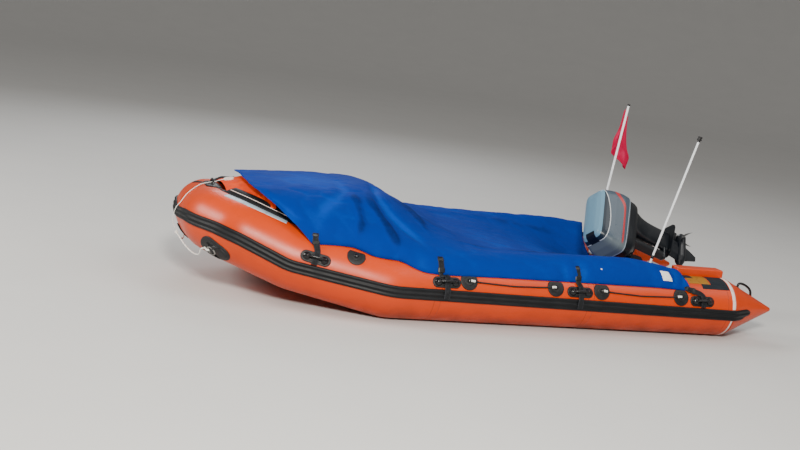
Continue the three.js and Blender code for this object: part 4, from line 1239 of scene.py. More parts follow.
def gripFinish(name):
    # moulded rubber that shines where it stands proud, painted a little paler there as painted sheen, with
    # dust held in the flat parts
    bench = Bench(name, Specular_IOR_Level=0.45)
    spot, part = bench.place(), bench.field("part")
    dust = spot.noise(30, 5, 0.65).step(0.45, 0.75) * (1 - part)
    # raised parts mixed a little paler: painted sheen; the flat parts hold real dust
    shade = (dust * 0.5 + part * 0.1).held().colour((0.0022, 0.0026, 0.004), (0.022, 0.022, 0.024))
    grain = spot.noise(700, 2) * 0.5 + spot.noise(120, 3) * 0.5
    rough = 0.52 - part * 0.3 + dust * 0.2
    return bench.feed(Base_Color=shade, Roughness=rough.held(), Normal=grain.bump(0.0005, 0.45))


gripRubber = gripFinish("grip_black")

handles = {
    "u": {"aft": 0.330, "mid_aft": 1.440, "mid_fore": 2.550, "fore": 3.504},
    "rise": 23.6,
    "patch": (0.225, 0.084),
    "thick": 0.007,
    "boss": {"at": 0.066, "size": 0.060, "height": 0.019},
    # half of the bar's line: metres from its middle, and off the skin
    "bar": [(0.068, 0.006), (0.0565, 0.034), (0.030, 0.045), (0.0, 0.0475)],
    "radius": 0.0092,
}


def handleAngle(u):
    return float(strakeAngle(u)) + handles["rise"]


def addHandles(h):
    # each handle: an oblong patch, two glossy bosses, and a ribbed bar that arches between them
    for name, u in h["u"].items():
        surface = onTube(u, handleAngle(u))
        lump = Lump()
        patchOn(lump, surface, ovalLine(*h["patch"]), h["thick"])
        width, height = h["patch"]
        patchOn(lump, surface, ovalLine(width - 0.030, height - 0.030), h["thick"] + 0.003)
        boss = h["boss"]
        outline = ovalLine(boss["size"], boss["size"] * 0.96)
        for way in (-1, 1):
            patchOn(lump, onTube(u + way * boss["at"], handleAngle(u)), outline, 0.011, 1.0, boss["height"])
        bar = np.array(h["bar"])
        bar = np.vstack([bar * (-1, 1), bar[-2::-1]])
        curve = smoothCurve(surface(bar[:, 0], 0.0, bar[:, 1]), 70)
        t = np.linspace(-1, 1, 70)
        ribs = 0.0009 * np.abs(np.sin(t * math.pi * 11)) * (np.abs(t) < 0.6)
        rings = tubeRings(curve, h["radius"] + ribs, 16)
        lump.addGrid(closedGrid(rings), closeColumns=True, part=0.8)
        for side, mirrored in sides:
            piece = weld(lump.piece(f"carry_{name}_{side}", mirrored))
            dress(piece, gripRubber, "hull", [f"handle_{name}_{side}"])


addHandles(handles)

grabLines = {
    "aft": (0.530, 1.250),
    "fore": (1.650, 2.370),
    "rise": 28.8,
    "hem": 41.0,
    "size": 0.138,
    "thick": 0.008,
    "rope": 0.006,
    "sag": ((0, 0), (0.05, 0.6), (0.14, 1.6), (0.5, 4.0), (0.86, 1.6), (0.95, 0.6), (1, 0)),
    "forePatch": (3.225, 47.0, 57.0),
}


def grabPatch(lump, u, angle, hem, g):
    # a round patch cut off at the hem, with a raised disc and a glossy eye in its middle
    top = math.radians(hem - angle) * tubeRadius
    surface = onTube(u, angle)
    patchOn(lump, surface, ovalLine(g["size"], g["size"], top), g["thick"])
    patchOn(lump, surface, ovalLine(0.074, 0.074, top), g["thick"] + 0.0035)
    patchOn(lump, surface, ovalLine(0.034, 0.034), g["thick"] + 0.007, 1.0, 0.009)


def grabRoute(first, last, g, count=220):
    # from eye to eye: straight round the tube less the sag, and down off the eyes on to the skin
    t = np.linspace(0, 1, count)
    u = first + (last - first) * t
    turn = [float(strakeAngle(end)) + g["rise"] for end in (first, last)]
    sag = np.interp(t, *np.array(g["sag"]).T)
    angle = turn[0] + (turn[1] - turn[0]) * t - softened(sag, 9)
    near = 1 - ease(0.02, 0.12, t) * (1 - ease(0.88, 0.98, t))
    return tube.skin(u, angle, g["rope"] + 0.002 + 0.012 * near)


def addGrabLines(g):
    for name in ("aft", "fore"):
        first, last = g[name]
        lump = Lump()
        for u in (first, last):
            grabPatch(lump, u, float(strakeAngle(u)) + g["rise"], g["hem"], g)
        route = grabRoute(first, last, g)
        rings, uv = ropeRings(route, g["rope"], lay=3.2, sides=12)
        lump.addGrid(closedGrid(rings), closeColumns=True, uv=padRows(uv), part=0.3)
        whips = Lump()
        for part in (route[2:13], route[-13:-2]):
            thick = g["rope"] + 0.003
            rings, uv = ropeRings(evenly(part, 24), thick, strands=9, lay=0.8, sides=14, depth=0.1)
            whips.addGrid(closedGrid(rings), closeColumns=True, uv=padRows(uv))
        for side, mirrored in sides:
            piece = weld(lump.piece(f"grab_rope_{name}_{side}", mirrored))
            dress(piece, gripRubber, "hull", [f"grab_line_{name}_{side}"])
            piece = weld(whips.piece(f"grab_whipping_{name}_{side}", mirrored))
            dress(piece, whiteRope, "hull")
    lump = Lump()
    grabPatch(lump, *g["forePatch"], g)
    for side, mirrored in sides:
        piece = weld(lump.piece(f"fore_patch_{side}", mirrored))
        dress(piece, gripRubber, "hull", [f"grab_patch_{side}"])


addGrabLines(grabLines)

towRing = {
    "ring": 0.034,
    "wire": 0.007,
    # width and height of the big patch, which lies a little ahead of the ring, the small one, the tab
    "pad": (0.200, 0.205),
    "padAhead": 0.02,
    "disc": (0.140, 0.150),
    "tab": (0.036, 0.120),
    "thick": 0.009,
}


def addTowPatches(t, r):
    # a big round patch, a smaller one on it, a webbing tab across, and the steel ring
    u, angle = runAt(t["run"], t["distance"]), t["angle"]
    surface = onTube(u, angle)
    lump, ring, eye = Lump(), Lump(), Lump()
    patchOn(lump, onTube(u + r["padAhead"], angle), ovalLine(*r["pad"], count=96), r["thick"])
    patchOn(lump, surface, ovalLine(*r["disc"], count=96), r["thick"] + 0.004)
    patchOn(lump, surface, ovalLine(*r["tab"]), r["thick"] + 0.008, 0.5, 0.006)
    a = np.linspace(0, 2 * math.pi, 64, endpoint=False)
    circle = towPoint(0, 0, 0.004) + 0 * a[:, None]
    ahead = unit(towPoint(0.02, 0, 0.004) - towPoint(-0.02, 0, 0.004))
    out = unit(towPoint(0, 0, 0.1) - towPoint(0, 0, 0.0))
    across = np.cross(out, ahead)
    spoke = np.cos(a)[:, None] * ahead + np.sin(a)[:, None] * across
    b = np.linspace(0, 2 * math.pi, 14, endpoint=False)
    wire = np.cos(b)[None, :, None] * spoke[:, None] + np.sin(b)[None, :, None] * out
    ring.addGrid((circle + r["ring"] * spoke)[:, None] + r["wire"] * wire, closeRows=True, closeColumns=True)
    spots = [towPoint(0.070, 0, 0.0095), towPoint(0.052, 0, 0.013), towPoint(0.037, 0, 0.0172)]
    spots += [towPoint(0.024, 0, 0.013), towPoint(0.0205, 0, 0.003)]
    rings, uv = ropeRings(smoothCurve(spots, 40), 0.0075, lay=2.6, sides=14)
    eye.addGrid(closedGrid(rings), closeColumns=True, uv=padRows(uv))
    for side, mirrored in sides:
        piece = weld(lump.piece(f"tow_pad_{side}", mirrored))
        dress(piece, gripRubber, "hull", [f"tow_patch_{side}"])
        dress(weld(ring.piece(f"tow_ring_{side}", mirrored)), steel, "hull")
        dress(weld(eye.piece(f"tow_splice_{side}", mirrored)), whiteRope, "hull")


def paintFinish(name, base, worn, rough=0.38, metal=0.0, coat=0.15, grain=0.25):
    # sprayed or moulded surface: colour clouded a little, scratches along it, orange peel
    bench = Bench(name, Specular_IOR_Level=0.45, Coat_Weight=coat, Coat_Roughness=0.2)
    spot = bench.place()
    cloud = spot.noise(5, 5, 0.6)
    marks = spot.noise(60, 6, 0.75, (1, 0.15, 0.4)).step(0.6, 0.78)
    shade = (cloud.step(0.45, 0.85) * 0.25 + marks * 0.45).held().colour(base, worn)
    peel = spot.noise(420, 2) * 0.4 + spot.noise(90, 3) * 0.6
    metalness = spot.noise(40, 3).step(0.3, 0.5) * 0.04 + max(metal - 0.04, 0.0)
    glaze = cloud * 0.16 + marks * 0.2 + (rough - 0.08)
    return bench.feed(
        Base_Color=shade, Roughness=glaze.held(), Metallic=metalness.held(), Normal=peel.bump(0.0008, grain)
    )


steel = paintFinish("steel_worn", (0.32, 0.32, 0.31), (0.12, 0.1, 0.08), 0.35, 0.9, coat=0.0)
addTowPatches(ropes["tow"], towRing)
print("stage: handles, grab lines and tow patches")

# stern and bow trims on the tube's skin


def bandOn(lump, line, width, thick, count=80, surface=None, part=0.0):
    # a strip glued on: its profile carried along a line drawn on the unrolled skin, whose first
    # number is the distance along the tube and whose second is degrees round it
    surface = surface or onTube(0.0, 0.0)
    line = np.array(line, float) * (1, math.radians(1) * tubeRadius)
    line = evenly(line, count)
    ahead = unit(np.gradient(line, axis=0))
    side = np.stack([-ahead[:, 1], ahead[:, 0]], 1)
    across = np.linspace(-0.5, 0.5, max(5, int(width / 0.012)))
    low = np.array([(-0.5, -0.0012), (0.5, -0.0012)])
    top = np.stack([across, np.full_like(across, thick)], 1)
    top[[0, -1], 1] = thick * 0.55
    profile = np.vstack([low[:1], top, low[1:]])
    spot = line[:, None] + side[:, None] * (profile[:, 0] * width)[None, :, None]
    grid = surface(spot[..., 0], spot[..., 1], profile[None, :, 1])
    return lump.addGrid(closedGrid(grid), closeColumns=True, uv=padRows(spot), part=part)


def tapeFinish(name, colour, worn, rough=0.5, grit=0.0):
    # stuck-on tape: worn along its edges and in patches, gritty where it is made for walking on
    bench = Bench(name, Specular_IOR_Level=0.35)
    spot = bench.place()
    wear = spot.noise(22, 6, 0.7).step(0.5, 0.72)
    shade = (wear * 0.7).colour(colour, worn)
    relief = spot.noise(900, 2) * (0.2 + grit) + spot.noise(60, 3) * 0.3
    glaze = (wear * 0.2 + rough).held()
    return bench.feed(Base_Color=shade, Roughness=glaze, Normal=relief.bump(0.0008, 0.5))


whiteTape = tapeFinish("tape_white", (0.74, 0.62, 0.58), (0.45, 0.25, 0.18))
# silver reflective tape whose blue colour is a painted reflection of the sky
paintedSkyReflectionTape = tapeFinish("tape_silver_painted_sky_reflection", (0.36, 0.46, 0.55), (0.2, 0.24, 0.27), 0.34)
# the same silver reflective tape painted olive-brown: a painted reflection of its surroundings in shade
paintedOliveReflectionTape = tapeFinish("tape_olive_painted_reflection", (0.30, 0.13, 0.006), (0.14, 0.05, 0.006), 0.6)
gritPad = tapeFinish("pad_gritty", (0.004, 0.009, 0.016), (0.03, 0.035, 0.04), 0.75, 0.8)

tapes = [
    # name, finish, thickness, then strips: distance along the tube and degrees round it, and width
    (
        "ring_tape",
        whiteTape,
        0.0014,
        [([(0.02, 8.4), (0.02, 95)], 0.030), ([(0.02, -14.4), (0.02, -81)], 0.014)],
    ),
    (
        "walk_pad",
        gritPad,
        0.0026,
        [([(0.045, 77.5), (0.205, 77.5)], 0.144), ([(0.045, 54), (0.300, 54)], 0.049)],
    ),
    ("corner_tape", paintedOliveReflectionTape, 0.0016, [([(0.215, 77.5), (0.415, 77.5)], 0.142)]),
    ("bow_tape", paintedSkyReflectionTape, 0.0016, [([(3.80, 77.0), (4.04, 75.0), (4.26, 73.0)], 0.058)]),
    ("deck_pad", gritPad, 0.002, [([(0.34, 94), (0.66, 94)], 0.15)]),
]


def addTapes(rows):
    for name, finish, thick, strips in rows:
        lump = Lump()
        for line, width in strips:
            bandOn(lump, line, width, thick)
        for side, mirrored in sides:
            dress(weld(lump.piece(f"{name}_{side}", mirrored)), finish, "hull")


addTapes(tapes)

deflector = {
    # a soft black flap along the tube's top, from the cover to the bow: degrees round the tube and lift
    "from": 3.74,
    "to": 4.36,
    "profile": [
        (81, -0.001),
        (81.5, 0.005),
        (85, 0.013),
        (89, 0.027),
        (93, 0.043),
        (98, 0.054),
        (103, 0.056),
        (108, 0.046),
        (112, 0.022),
        (113, -0.001),
    ],
    "piping": (88.5, 0.0262, 0.0028),
    "strip": [(4.34, 90), (4.42, 86), (4.49, 82), (4.60, 70), (4.74, 50)],
    "patch": (0.230, 0.130),
}


def addDeflector(d):
    u = np.linspace(d["from"], d["to"], 90)
    profile = np.array(d["profile"])
    ends = (ease(0, 0.05, u - d["from"]) * ease(0, 0.08, d["to"] - u))[:, None]
    lift = np.where(profile[:, 1] > 0, 0.002 + (profile[:, 1] - 0.002) * ends, profile[:, 1])
    grid = tube.skin(u[:, None], profile[None, :, 0], lift)
    uv = np.stack(np.broadcast_arrays(u[:, None], np.linspace(0, 0.1, len(profile))[None]), -1)
    angle, rise, radius = d["piping"]
    seam = tube.skin(u[8:-10], angle, 0.002 + (rise - 0.002) * ends[8:-10, 0])
    white = Lump().addGrid(closedGrid(tubeRings(seam, radius, 10)), closeColumns=True)
    for side, mirrored in sides:
        dress(closedTube(f"spray_flap_{side}", grid, uv, mirrored), blackRubber, "hull")
        dress(weld(white.piece(f"flap_piping_{side}", mirrored)), whiteTape, "hull")
    lump = Lump()
    bandOn(lump, d["strip"], 0.034, 0.004)
    patchOn(lump, onTube(tube.middle, 82.0), ovalLine(*d["patch"]), 0.009, 0.2, 0.002)
    patchOn(lump, onTube(tube.middle, 82.0), ovalLine(0.15, 0.07), 0.012, 0.5, 0.002)
    foot = tube.skin(tube.middle, 82.0, 0.002)
    arch = (-0.052, 0.0), (-0.040, 0.030), (0, 0.042), (0.040, 0.030), (0.052, 0.0)
    spots = [(foot[0], y, foot[2] + z) for y, z in arch]
    lump.addGrid(closedGrid(tubeRings(smoothCurve(spots, 50), 0.008, 14)), closeColumns=True, part=0.8)
    dress(weld(lump.piece("bow_pad")), gripRubber, "hull", ["bow_fitting"])


addDeflector(deflector)

quarterPad = {
    "x": (-0.428, 0.004),
    "y": (0.636, 0.748),
    "z": (0.440, 0.530),
    "corner": 0.014,
    "crown": 0.002,
}


def addQuarterPads(q):
    # a long raised pad: a rounded block section carried along, its aft end rounded down
    x0, x1 = q["x"]
    nose = x0 + 0.02 * (1 - np.cos(np.linspace(0.05, math.pi / 2, 10)))
    x = np.concatenate([nose, np.linspace(x0 + 0.03, x1 - 0.004, 60), [x1 - 0.001, x1]])
    end = np.sqrt(np.clip(1 - ((x0 + 0.02 - x) / 0.02) ** 2, 0, 1)) * (x < x0 + 0.02) + (x >= x0 + 0.02)
    half = (q["y"][1] - q["y"][0]) / 2
    ring = roundedRing(q["z"][0], q["z"][1], half, q["corner"], 10)
    z, y = ring[:, 0], ring[:, 1]
    inset = (1 - end)[:, None] * 0.012
    crown = q["crown"] * np.cos(y / half * 1.4)[None] * (z > 0.48)
    zz = np.where(z > 0.48, z[None] - inset, z[None]) + crown
    yy = (q["y"][0] + half) + y[None] * (1 - inset / half)
    grid = np.stack([np.broadcast_to(x[:, None], zz.shape), yy, zz], -1)
    uv = np.stack(np.broadcast_arrays(x[:, None], np.linspace(0, 0.4, len(z))[None]), -1)
    for side, mirrored in sides:
        piece = closedTube(f"quarter_block_{side}", grid, uv, mirrored)
        dress(piece, orangeTrim, "hull", [f"quarter_pad_{side}"])


orangeTrim = skinFinish("trim_orange", skinColours)
addQuarterPads(quarterPad)

coneLoop = {
    # x, and height over the cone
    "spots": [(-0.566, 0.0), (-0.578, 0.038), (-0.640, 0.058), (-0.700, 0.044), (-0.716, 0.0)],
    "radius": 0.0100,
    "foot": 0.05,
}


def addConeLoops(c):
    # a rubber loop standing on the cone's top, on two small oval feet
    spots = np.array(c["spots"])
    route = coneSkin(cone["x"] - spots[:, 0], 90.0, spots[:, 1])
    lump = Lump()
    lump.addGrid(closedGrid(tubeRings(smoothCurve(route, 60), c["radius"], 16)), closeColumns=True, part=0.6)
    for x in (spots[0, 0], spots[-1, 0]):
        patchOn(lump, onCone(cone["x"] - x, 90.0), ovalLine(c["foot"], c["foot"] * 0.9), 0.005, 0.2, 0.003)
    for side, mirrored in sides:
        piece = weld(lump.piece(f"stern_loop_{side}", mirrored))
        dress(piece, gripRubber, "hull", [f"cone_loop_{side}"])


addConeLoops(coneLoop)
print("stage: tapes, pads and loops")

# straps that tie the cover to the handles

straps = {
    # where on the cover each one starts: x, and height of its upper end; the handle that it goes to
    "places": [
        (3.095, 0.600, "fore", 0),
        (2.164, 0.515, "mid_fore", 3),
        (1.022, 0.525, "mid_aft", 3),
        (0.045, 0.430, "aft", 0),
    ],
    "tail": [(-12.5, 0.0235), (-18, 0.0225), (-25, 0.0215), (-31, 0.0225), (-34, 0.0225)],
    "width": 0.046,
    "thick": 0.0026,
    "off": 0.0036,
}


def ribbon(lump, curve, across, width, thick, part=0.0):
    # a flat band: a thin rounded section carried along the line, its width along the given side
    curve = np.asarray(curve, float)
    along = unit(np.gradient(curve, axis=0))
    side = np.broadcast_to(across, curve.shape)
    side = unit(side - along * (side * along).sum(1, keepdims=True))
    rise = np.cross(along, side)
    edge = np.array([(-0.5, 0), (-0.47, 0.42), (-0.25, 0.5), (0, 0.5), (0.25, 0.5), (0.47, 0.42), (0.5, 0)])
    profile = np.vstack([edge, edge[-2:0:-1] * (1, -1)])
    grid = curve[:, None] + (profile[:, 0] * width)[None, :, None] * side[:, None]
    grid = grid + (profile[:, 1] * thick)[None, :, None] * rise[:, None]
    gone = np.concatenate([[0], np.cumsum(np.linalg.norm(np.diff(curve, axis=0), axis=1))])
    uv = np.stack(np.broadcast_arrays(gone[:, None], (profile[:, 0] * width)[None]), -1)
    return lump.addGrid(closedGrid(grid), closeColumns=True, uv=padRows(uv), part=part)


def webFinish(name, colour, pale):
    # woven webbing: ribs across, threads along, paler on its worn edges
    bench = Bench(name, Specular_IOR_Level=0.3)
    lay = bench.uv()
    run, width = lay.axis("X"), lay.axis("Y")
    weave = (run * 2600).sine() * (width * 1800).sine()
    edge = abs(width).step(0.0155, 0.019)
    wear = bench.place().noise(45, 4).step(0.45, 0.7)
    shade = (edge * 0.5 + wear * 0.4 + weave * 0.1).held().colour(colour, pale)
    rough = wear * 0.1 + 0.62
    return bench.feed(Base_Color=shade, Roughness=rough, Normal=weave.bump(0.0006, 0.6))


webbing = webFinish("webbing_black", (0.003, 0.004, 0.006), (0.03, 0.032, 0.04))


def strapRoute(x, top, u, side, tail):
    # down the cover from the given height to its hem, then under the handle's bar and over the strake
    g, n = coverGeometry["grid"], coverGeometry["normals"]
    half = g.shape[1] // 2
    columns = np.arange(half) if side > 0 else np.arange(g.shape[1] - 1, half, -1)
    facing = np.sign(n[len(n) // 2, half, 2])
    rows = np.abs(g[:, columns, 0] - x).argmin(0)
    spots = g[rows, columns] + facing * n[rows, columns] * straps["off"]
    down = spots[spots[:, 2] < top + 0.002]
    down = down[: max(3, int(np.argmax(np.diff(down[:, 2]) < 0)) or len(down))][::-1]
    flip = np.array([1, side, 1])
    angle = handleAngle(u)
    rest = [(angle + 11, 0.016), (angle + 4, 0.026), (angle - 3, 0.027), (angle - 9, 0.022)]
    rest += [(angle + turn, lift) for turn, lift in straps["tail"][: 1 + tail]]
    rest = [tube.skin(u, a, lift) * flip for a, lift in rest]
    path = np.vstack([down[::2], rest])
    return softened(evenly(smoothCurve(path, 120), 120), 4)


def addStraps(s):
    for x, top, name, tail in s["places"]:
        for word, side in (("port", 1), ("starboard", -1)):
            u = handles["u"][name]
            path = strapRoute(x, top, u, side, tail)
            across = unit(tube.at(u, 11, 3)) * np.array([1, side, 1])
            lump = Lump()
            ribbon(lump, path, across, s["width"], s["thick"])
            piece = weld(lump.piece(f"strap_{name}_{word}"))
            dress(piece, webbing, "hull")
            slide = Lump()
            ribbon(slide, path[30:42], across, s["width"] + 0.010, 0.0085)
            ribbon(slide, path[6:14], across, s["width"] + 0.004, 0.006)
            dress(weld(slide.piece(f"buckle_{name}_{word}")), blackPlastic, "hull")


coverPatches = [
    # name, x from and to, height from and to on the port side
    ("cover_label", 0.178, 0.262, 0.460, 0.515),
    ("cover_dot", 0.812, 0.824, 0.502, 0.506),
]


def addCoverPatches(rows):
    # small plain pieces of white cloth sewn to the cover: a cut from its own surface, lifted off it
    g, n = coverGeometry["grid"], coverGeometry["normals"]
    facing = np.sign(n[len(n) // 2, g.shape[1] // 2, 2])
    half = g.shape[1] // 2
    for name, x0, x1, z0, z1 in rows:
        column = np.arange(half)
        row = np.abs(g[:, 4, 0] - (x0 + x1) / 2).argmin()
        y, z = g[row, column, 1], g[row, column, 2]
        down = column[(z > z0 - 0.01) & (z < z1 + 0.01) & (y > 0.865)]
        t = np.linspace(0, 1, 26)
        c = np.linspace(down.min(), down.max(), 26)
        r = np.interp(x0 + (x1 - x0) * t, g[:, 4, 0], np.arange(len(g)))
        r0, c0 = np.floor(r).astype(int)[:, None], np.floor(c).astype(int)[None]
        fr, fc = (r[:, None] - r0)[..., None], (c[None] - c0)[..., None]
        spots = []
        for field in (g, n):
            low = field[r0, c0] * (1 - fc) + field[r0, c0 + 1] * fc
            high = field[r0 + 1, c0] * (1 - fc) + field[r0 + 1, c0 + 1] * fc
            spots.append(low * (1 - fr) + high * fr)
        grid = spots[0] + spots[1] * facing * 0.006
        piece = clothPiece(name, grid, None, None, 0.0012, split=True)
        dress(piece, labelCloth, "hull")


labelCloth = tapeFinish("label_white", (0.80, 0.78, 0.78), (0.6, 0.56, 0.56), 0.6)
addCoverPatches(coverPatches)

blackPlastic = paintFinish("plastic_black", (0.006, 0.006, 0.0075), (0.05, 0.05, 0.052), 0.45, coat=0.0)
addStraps(straps)
print("stage: straps")

# engine

engineFrame = {"pin": (0.046, 0.445), "tilt": 72.0, "steerX": -0.130, "steer": 35.0}


def engineSpot(local, e=engineFrame):
    # the engine's own upright axes, turned about the steering pin, then tilted about the tilt pin
    s, t = math.radians(e["steer"]), math.radians(e["tilt"])
    x, y, z = np.moveaxis(np.asarray(local, float), -1, 0)
    aft = x * math.cos(s) - y * math.sin(s) + e["steerX"]
    side = x * math.sin(s) + y * math.cos(s)
    ahead = aft * math.cos(t) + z * math.sin(t)
    rise = z * math.cos(t) - aft * math.sin(t)
    return np.stack([ahead + e["pin"][0], side, rise + e["pin"][1]], -1)


def housing(sections, rows=90, columns=128, soft=3, roundness=3.6):
    # rings whose reach aft and fore, width and lean run smoothly with height; each ring is a
    # superellipse, so its sides are a little crowned
    s = np.array(sections, float)
    gone = np.concatenate([[0], np.cumsum(np.linalg.norm(np.diff(s[:, :4], axis=0), axis=1))])
    t = np.linspace(0, gone[-1], rows)
    table = np.stack([np.interp(t, gone, s[:, i]) for i in range(s.shape[1])], 1)
    middle = softened(table, soft)
    table[1:-1] = middle[1:-1]
    z, x0, x1, half, lean = table.T
    a = np.linspace(0, 2 * math.pi, columns, endpoint=False)
    c = np.sign(np.cos(a)) * np.abs(np.cos(a)) ** (2 / roundness)
    d = np.sign(np.sin(a)) * np.abs(np.sin(a)) ** (2 / roundness)
    x = (x0 + x1)[:, None] / 2 + (x1 - x0)[:, None] / 2 * c[None]
    y = half[:, None] * d[None]
    return np.stack([x, y, z[:, None] - lean[:, None] * x], -1)


def enginePiece(name, parts, finish, nodes, body="engine"):
    # grids in the engine's own axes, closed, kept as a field and moved to where the engine is parked
    lump, local = Lump(), []
    for grid in parts:
        closed = closedGrid(grid)
        local.append(closed.reshape(-1, 3))
        lump.addGrid(engineSpot(closed), closeColumns=True)
    points, faces = np.vstack(lump.points), np.vstack(lump.faces)
    piece = makeMesh(name, points, faces, None, {"local": np.vstack(local)})
    return dress(weld(piece), finish, body, nodes)


housings = {
    # height above the tilt pin, reach aft and fore, half width, lean
    "cowl": [
        (0.2033, -0.310, 0.240, 0.172, -0.036),
        (0.2075, -0.314, 0.240, 0.1745, -0.035),
        (0.262, -0.322, 0.232, 0.174, -0.030),
        (0.340, -0.320, 0.208, 0.160, 0.0),
        (0.416, -0.310, 0.172, 0.136, 0.0),
        (0.446, -0.302, 0.160, 0.122, 0.0),
        (0.464, -0.286, 0.140, 0.104, 0.0),
        (0.476, -0.232, 0.092, 0.064, 0.0),
    ],
    "pan": [
        (0.062, -0.292, 0.096, 0.100, 0.0),
        (0.084, -0.300, 0.186, 0.140, 0.0),
        (0.130, -0.304, 0.228, 0.160, -0.02),
        (0.196, -0.306, 0.236, 0.168, -0.035),
        (0.203, -0.302, 0.232, 0.164, -0.036),
    ],
    "leg": [
        (0.0614, -0.292, -0.062, 0.096, 0),
        (0.020, -0.284, -0.062, 0.082, 0),
        (-0.040, -0.262, -0.060, 0.062, 0),
        (-0.120, -0.248, -0.060, 0.050, 0),
        (-0.220, -0.246, -0.062, 0.042, 0),
        (-0.378, -0.250, -0.060, 0.034, 0),
    ],
}


def block(x0, x1, half, z0, z1, corner=0.01):
    # a box with round upright edges and slightly eased top and bottom
    ring = roundedRing(x0, x1, half, corner, 5)
    middle = ring.mean(0)
    rings = []
    for z, share in ((z0, 0.95), (z0 + 0.002, 1.0), (z1 - 0.002, 1.0), (z1, 0.95)):
        flat = middle + (ring - middle) * share
        rings.append(np.column_stack([flat, np.full(len(flat), z)]))
    return np.array(rings)


def post(x, y, z0, z1, radius, sides=24, tip=0.92):
    a = np.linspace(0, 2 * math.pi, sides, endpoint=False)
    rings = []
    for z, share in ((z0, tip), (z0 + 0.002, 1.0), (z1 - 0.002, 1.0), (z1, tip)):
        reach = radius * share
        rings.append(np.stack([x + reach * np.cos(a), y + reach * np.sin(a), np.full_like(a, z)], 1))
    return np.array(rings)


def cowlFinish(name):
    # sprayed cowl: pale grey top, a dark band to a white pinstripe, dark grey sides with one red
    # sweep, a fore face painted paler grey as painted light, a grip recess painted black as painted shade, a
    # pale seam at the foot, and light orange peel
    bench = Bench(name, Specular_IOR_Level=0.35, Coat_Weight=0.1, Coat_Roughness=0.15)
    at = bench.vectorField("local")
    x, z = at.axis("X"), at.axis("Z")
    y = abs(at.axis("Y"))
    stripe = 0.425 - (x + 0.25) * 0.2533 + (x + 0.25) * (x + 0.1) * 0.717
    sweep = 0.252 + ((x + 0.30) * (x + 0.30) * -160).exponent() * 0.075
    width = (1 - x.step(-0.30, -0.10)) * 0.012 + 0.008
    red = 1 - (abs(z - sweep) - width).step(0.0, 0.002)
    red = red * x.step(-0.335, -0.315) * (1 - x.step(0.15, 0.19))
    top = z.step(0.4405, 0.4425)
    dark = (z - stripe).step(0.0, 0.0012) * (1 - top)
    pin = (z - stripe).line(0.0, 0.0026, 0.0008)
    foot = (z - x * 0.036).line(0.2105, 0.0035, 0.001)
    # painted shade: the grip's recess, which the shell does not have, is painted black
    recessShade = x.step(0.105, 0.11) * z.step(0.396, 0.40) * (1 - y.step(0.052, 0.057))
    cloud = bench.place().noise(6, 5, 0.6)
    shade = (cloud * 0.5).colour((0.046, 0.070, 0.098), (0.066, 0.098, 0.135))
    # painted light: the down-facing fore face is made a paler olive grey that stands for its lighting
    shade = (x.step(0.12, 0.2) * 0.6).colour(shade, (0.16, 0.19, 0.2))
    shade = top.colour(shade, (0.135, 0.265, 0.37))
    shade = dark.colour(shade, (0.012, 0.022, 0.035))
    shade = pin.colour(shade, (0.62, 0.66, 0.70))
    shade = red.colour(shade, (0.42, 0.03, 0.035))
    shade = foot.colour(shade, (0.30, 0.36, 0.42))
    shade = recessShade.colour(shade, (0.006, 0.007, 0.01))
    scratches = bench.place().noise(55, 6, 0.75, (1, 0.2, 0.5)).step(0.62, 0.8)
    shade = (scratches * 0.25).colour(shade, (0.35, 0.38, 0.4))
    peel = bench.place().noise(500, 2) * 0.3 + bench.place().noise(12, 3) * 0.7
    rough = cloud * 0.12 + scratches * 0.2 + 0.24
    return bench.feed(Base_Color=shade, Roughness=rough.held(), Normal=peel.bump(0.001, 0.3))


cowlPaint = cowlFinish("cowl_grey")
blackPaint = paintFinish("paint_black", (0.0035, 0.0055, 0.009), (0.05, 0.055, 0.06), 0.3)
castMetal = paintFinish("metal_cast", (0.02, 0.022, 0.026), (0.12, 0.12, 0.12), 0.42, 0.5)
ironGrey = paintFinish("iron_grey", (0.05, 0.052, 0.055), (0.16, 0.12, 0.09), 0.6, 0.4)


def addEngine(h):
    cowl, pan = housing(h["cowl"], 130, 144, 1, 6.5), housing(h["pan"], 60, 128, 2, 5.0)
    enginePiece("cowl_shell", [cowl], cowlPaint, ["engine_cowl"])
    enginePiece("pan_shell", [pan], blackPaint, ["engine_pan"])
    parts = [housing(h["leg"][::-1], 90, 96, 3, 2.6)]
    parts += [post(0, 0, -0.348, 0.058, 0.0182), block(-0.080, 0.036, 0.044, 0.040, 0.060)]
    parts += [block(-0.080, 0.032, 0.030, -0.352, -0.326)]
    enginePiece("leg_shell", parts, blackPaint, ["leg_housing"])


addEngine(housings)
print("stage: engine")

# masts and flag

polePaint = paintFinish("pole_white", (0.88, 0.91, 0.94), (0.6, 0.61, 0.61), 0.35)
masts = {
    "light": {"foot": (0.114, 0.450, 0.400), "top": (-0.1515, 0.450, 1.550), "radius": 0.009},
    "staff": {"foot": (0.131, -0.450, 0.400), "top": (0.023, -0.450, 1.720), "radius": 0.010},
}


def addSleeves(name, m, rows):
    # short black sleeves on a pole: distance from its top, length and how much thicker each one is
    foot, top = np.array(m["foot"]), np.array(m["top"])
    up = unit(top - foot)
    lump = Lump()
    for down, long, thick in rows:
        t = np.array([0, 0.04, 0.5, 0.96, 1])
        line = top - up * (down + long * t)[:, None]
        swell = m["radius"] + thick * np.array([0.55, 1, 1, 1, 0.55])
        lump.addGrid(closedGrid(tubeRings(line, swell, 24)), closeColumns=True)
    dress(weld(lump.piece(name)), blackPlastic, "hull")


addSleeves("light_sleeves", masts["light"], [(0.0005, 0.014, 0.0030), (1.02, 0.03, 0.0036)])
addSleeves("staff_sleeves", masts["staff"], [(-0.003, 0.016, 0.0030), (1.20, 0.03, 0.0036)])

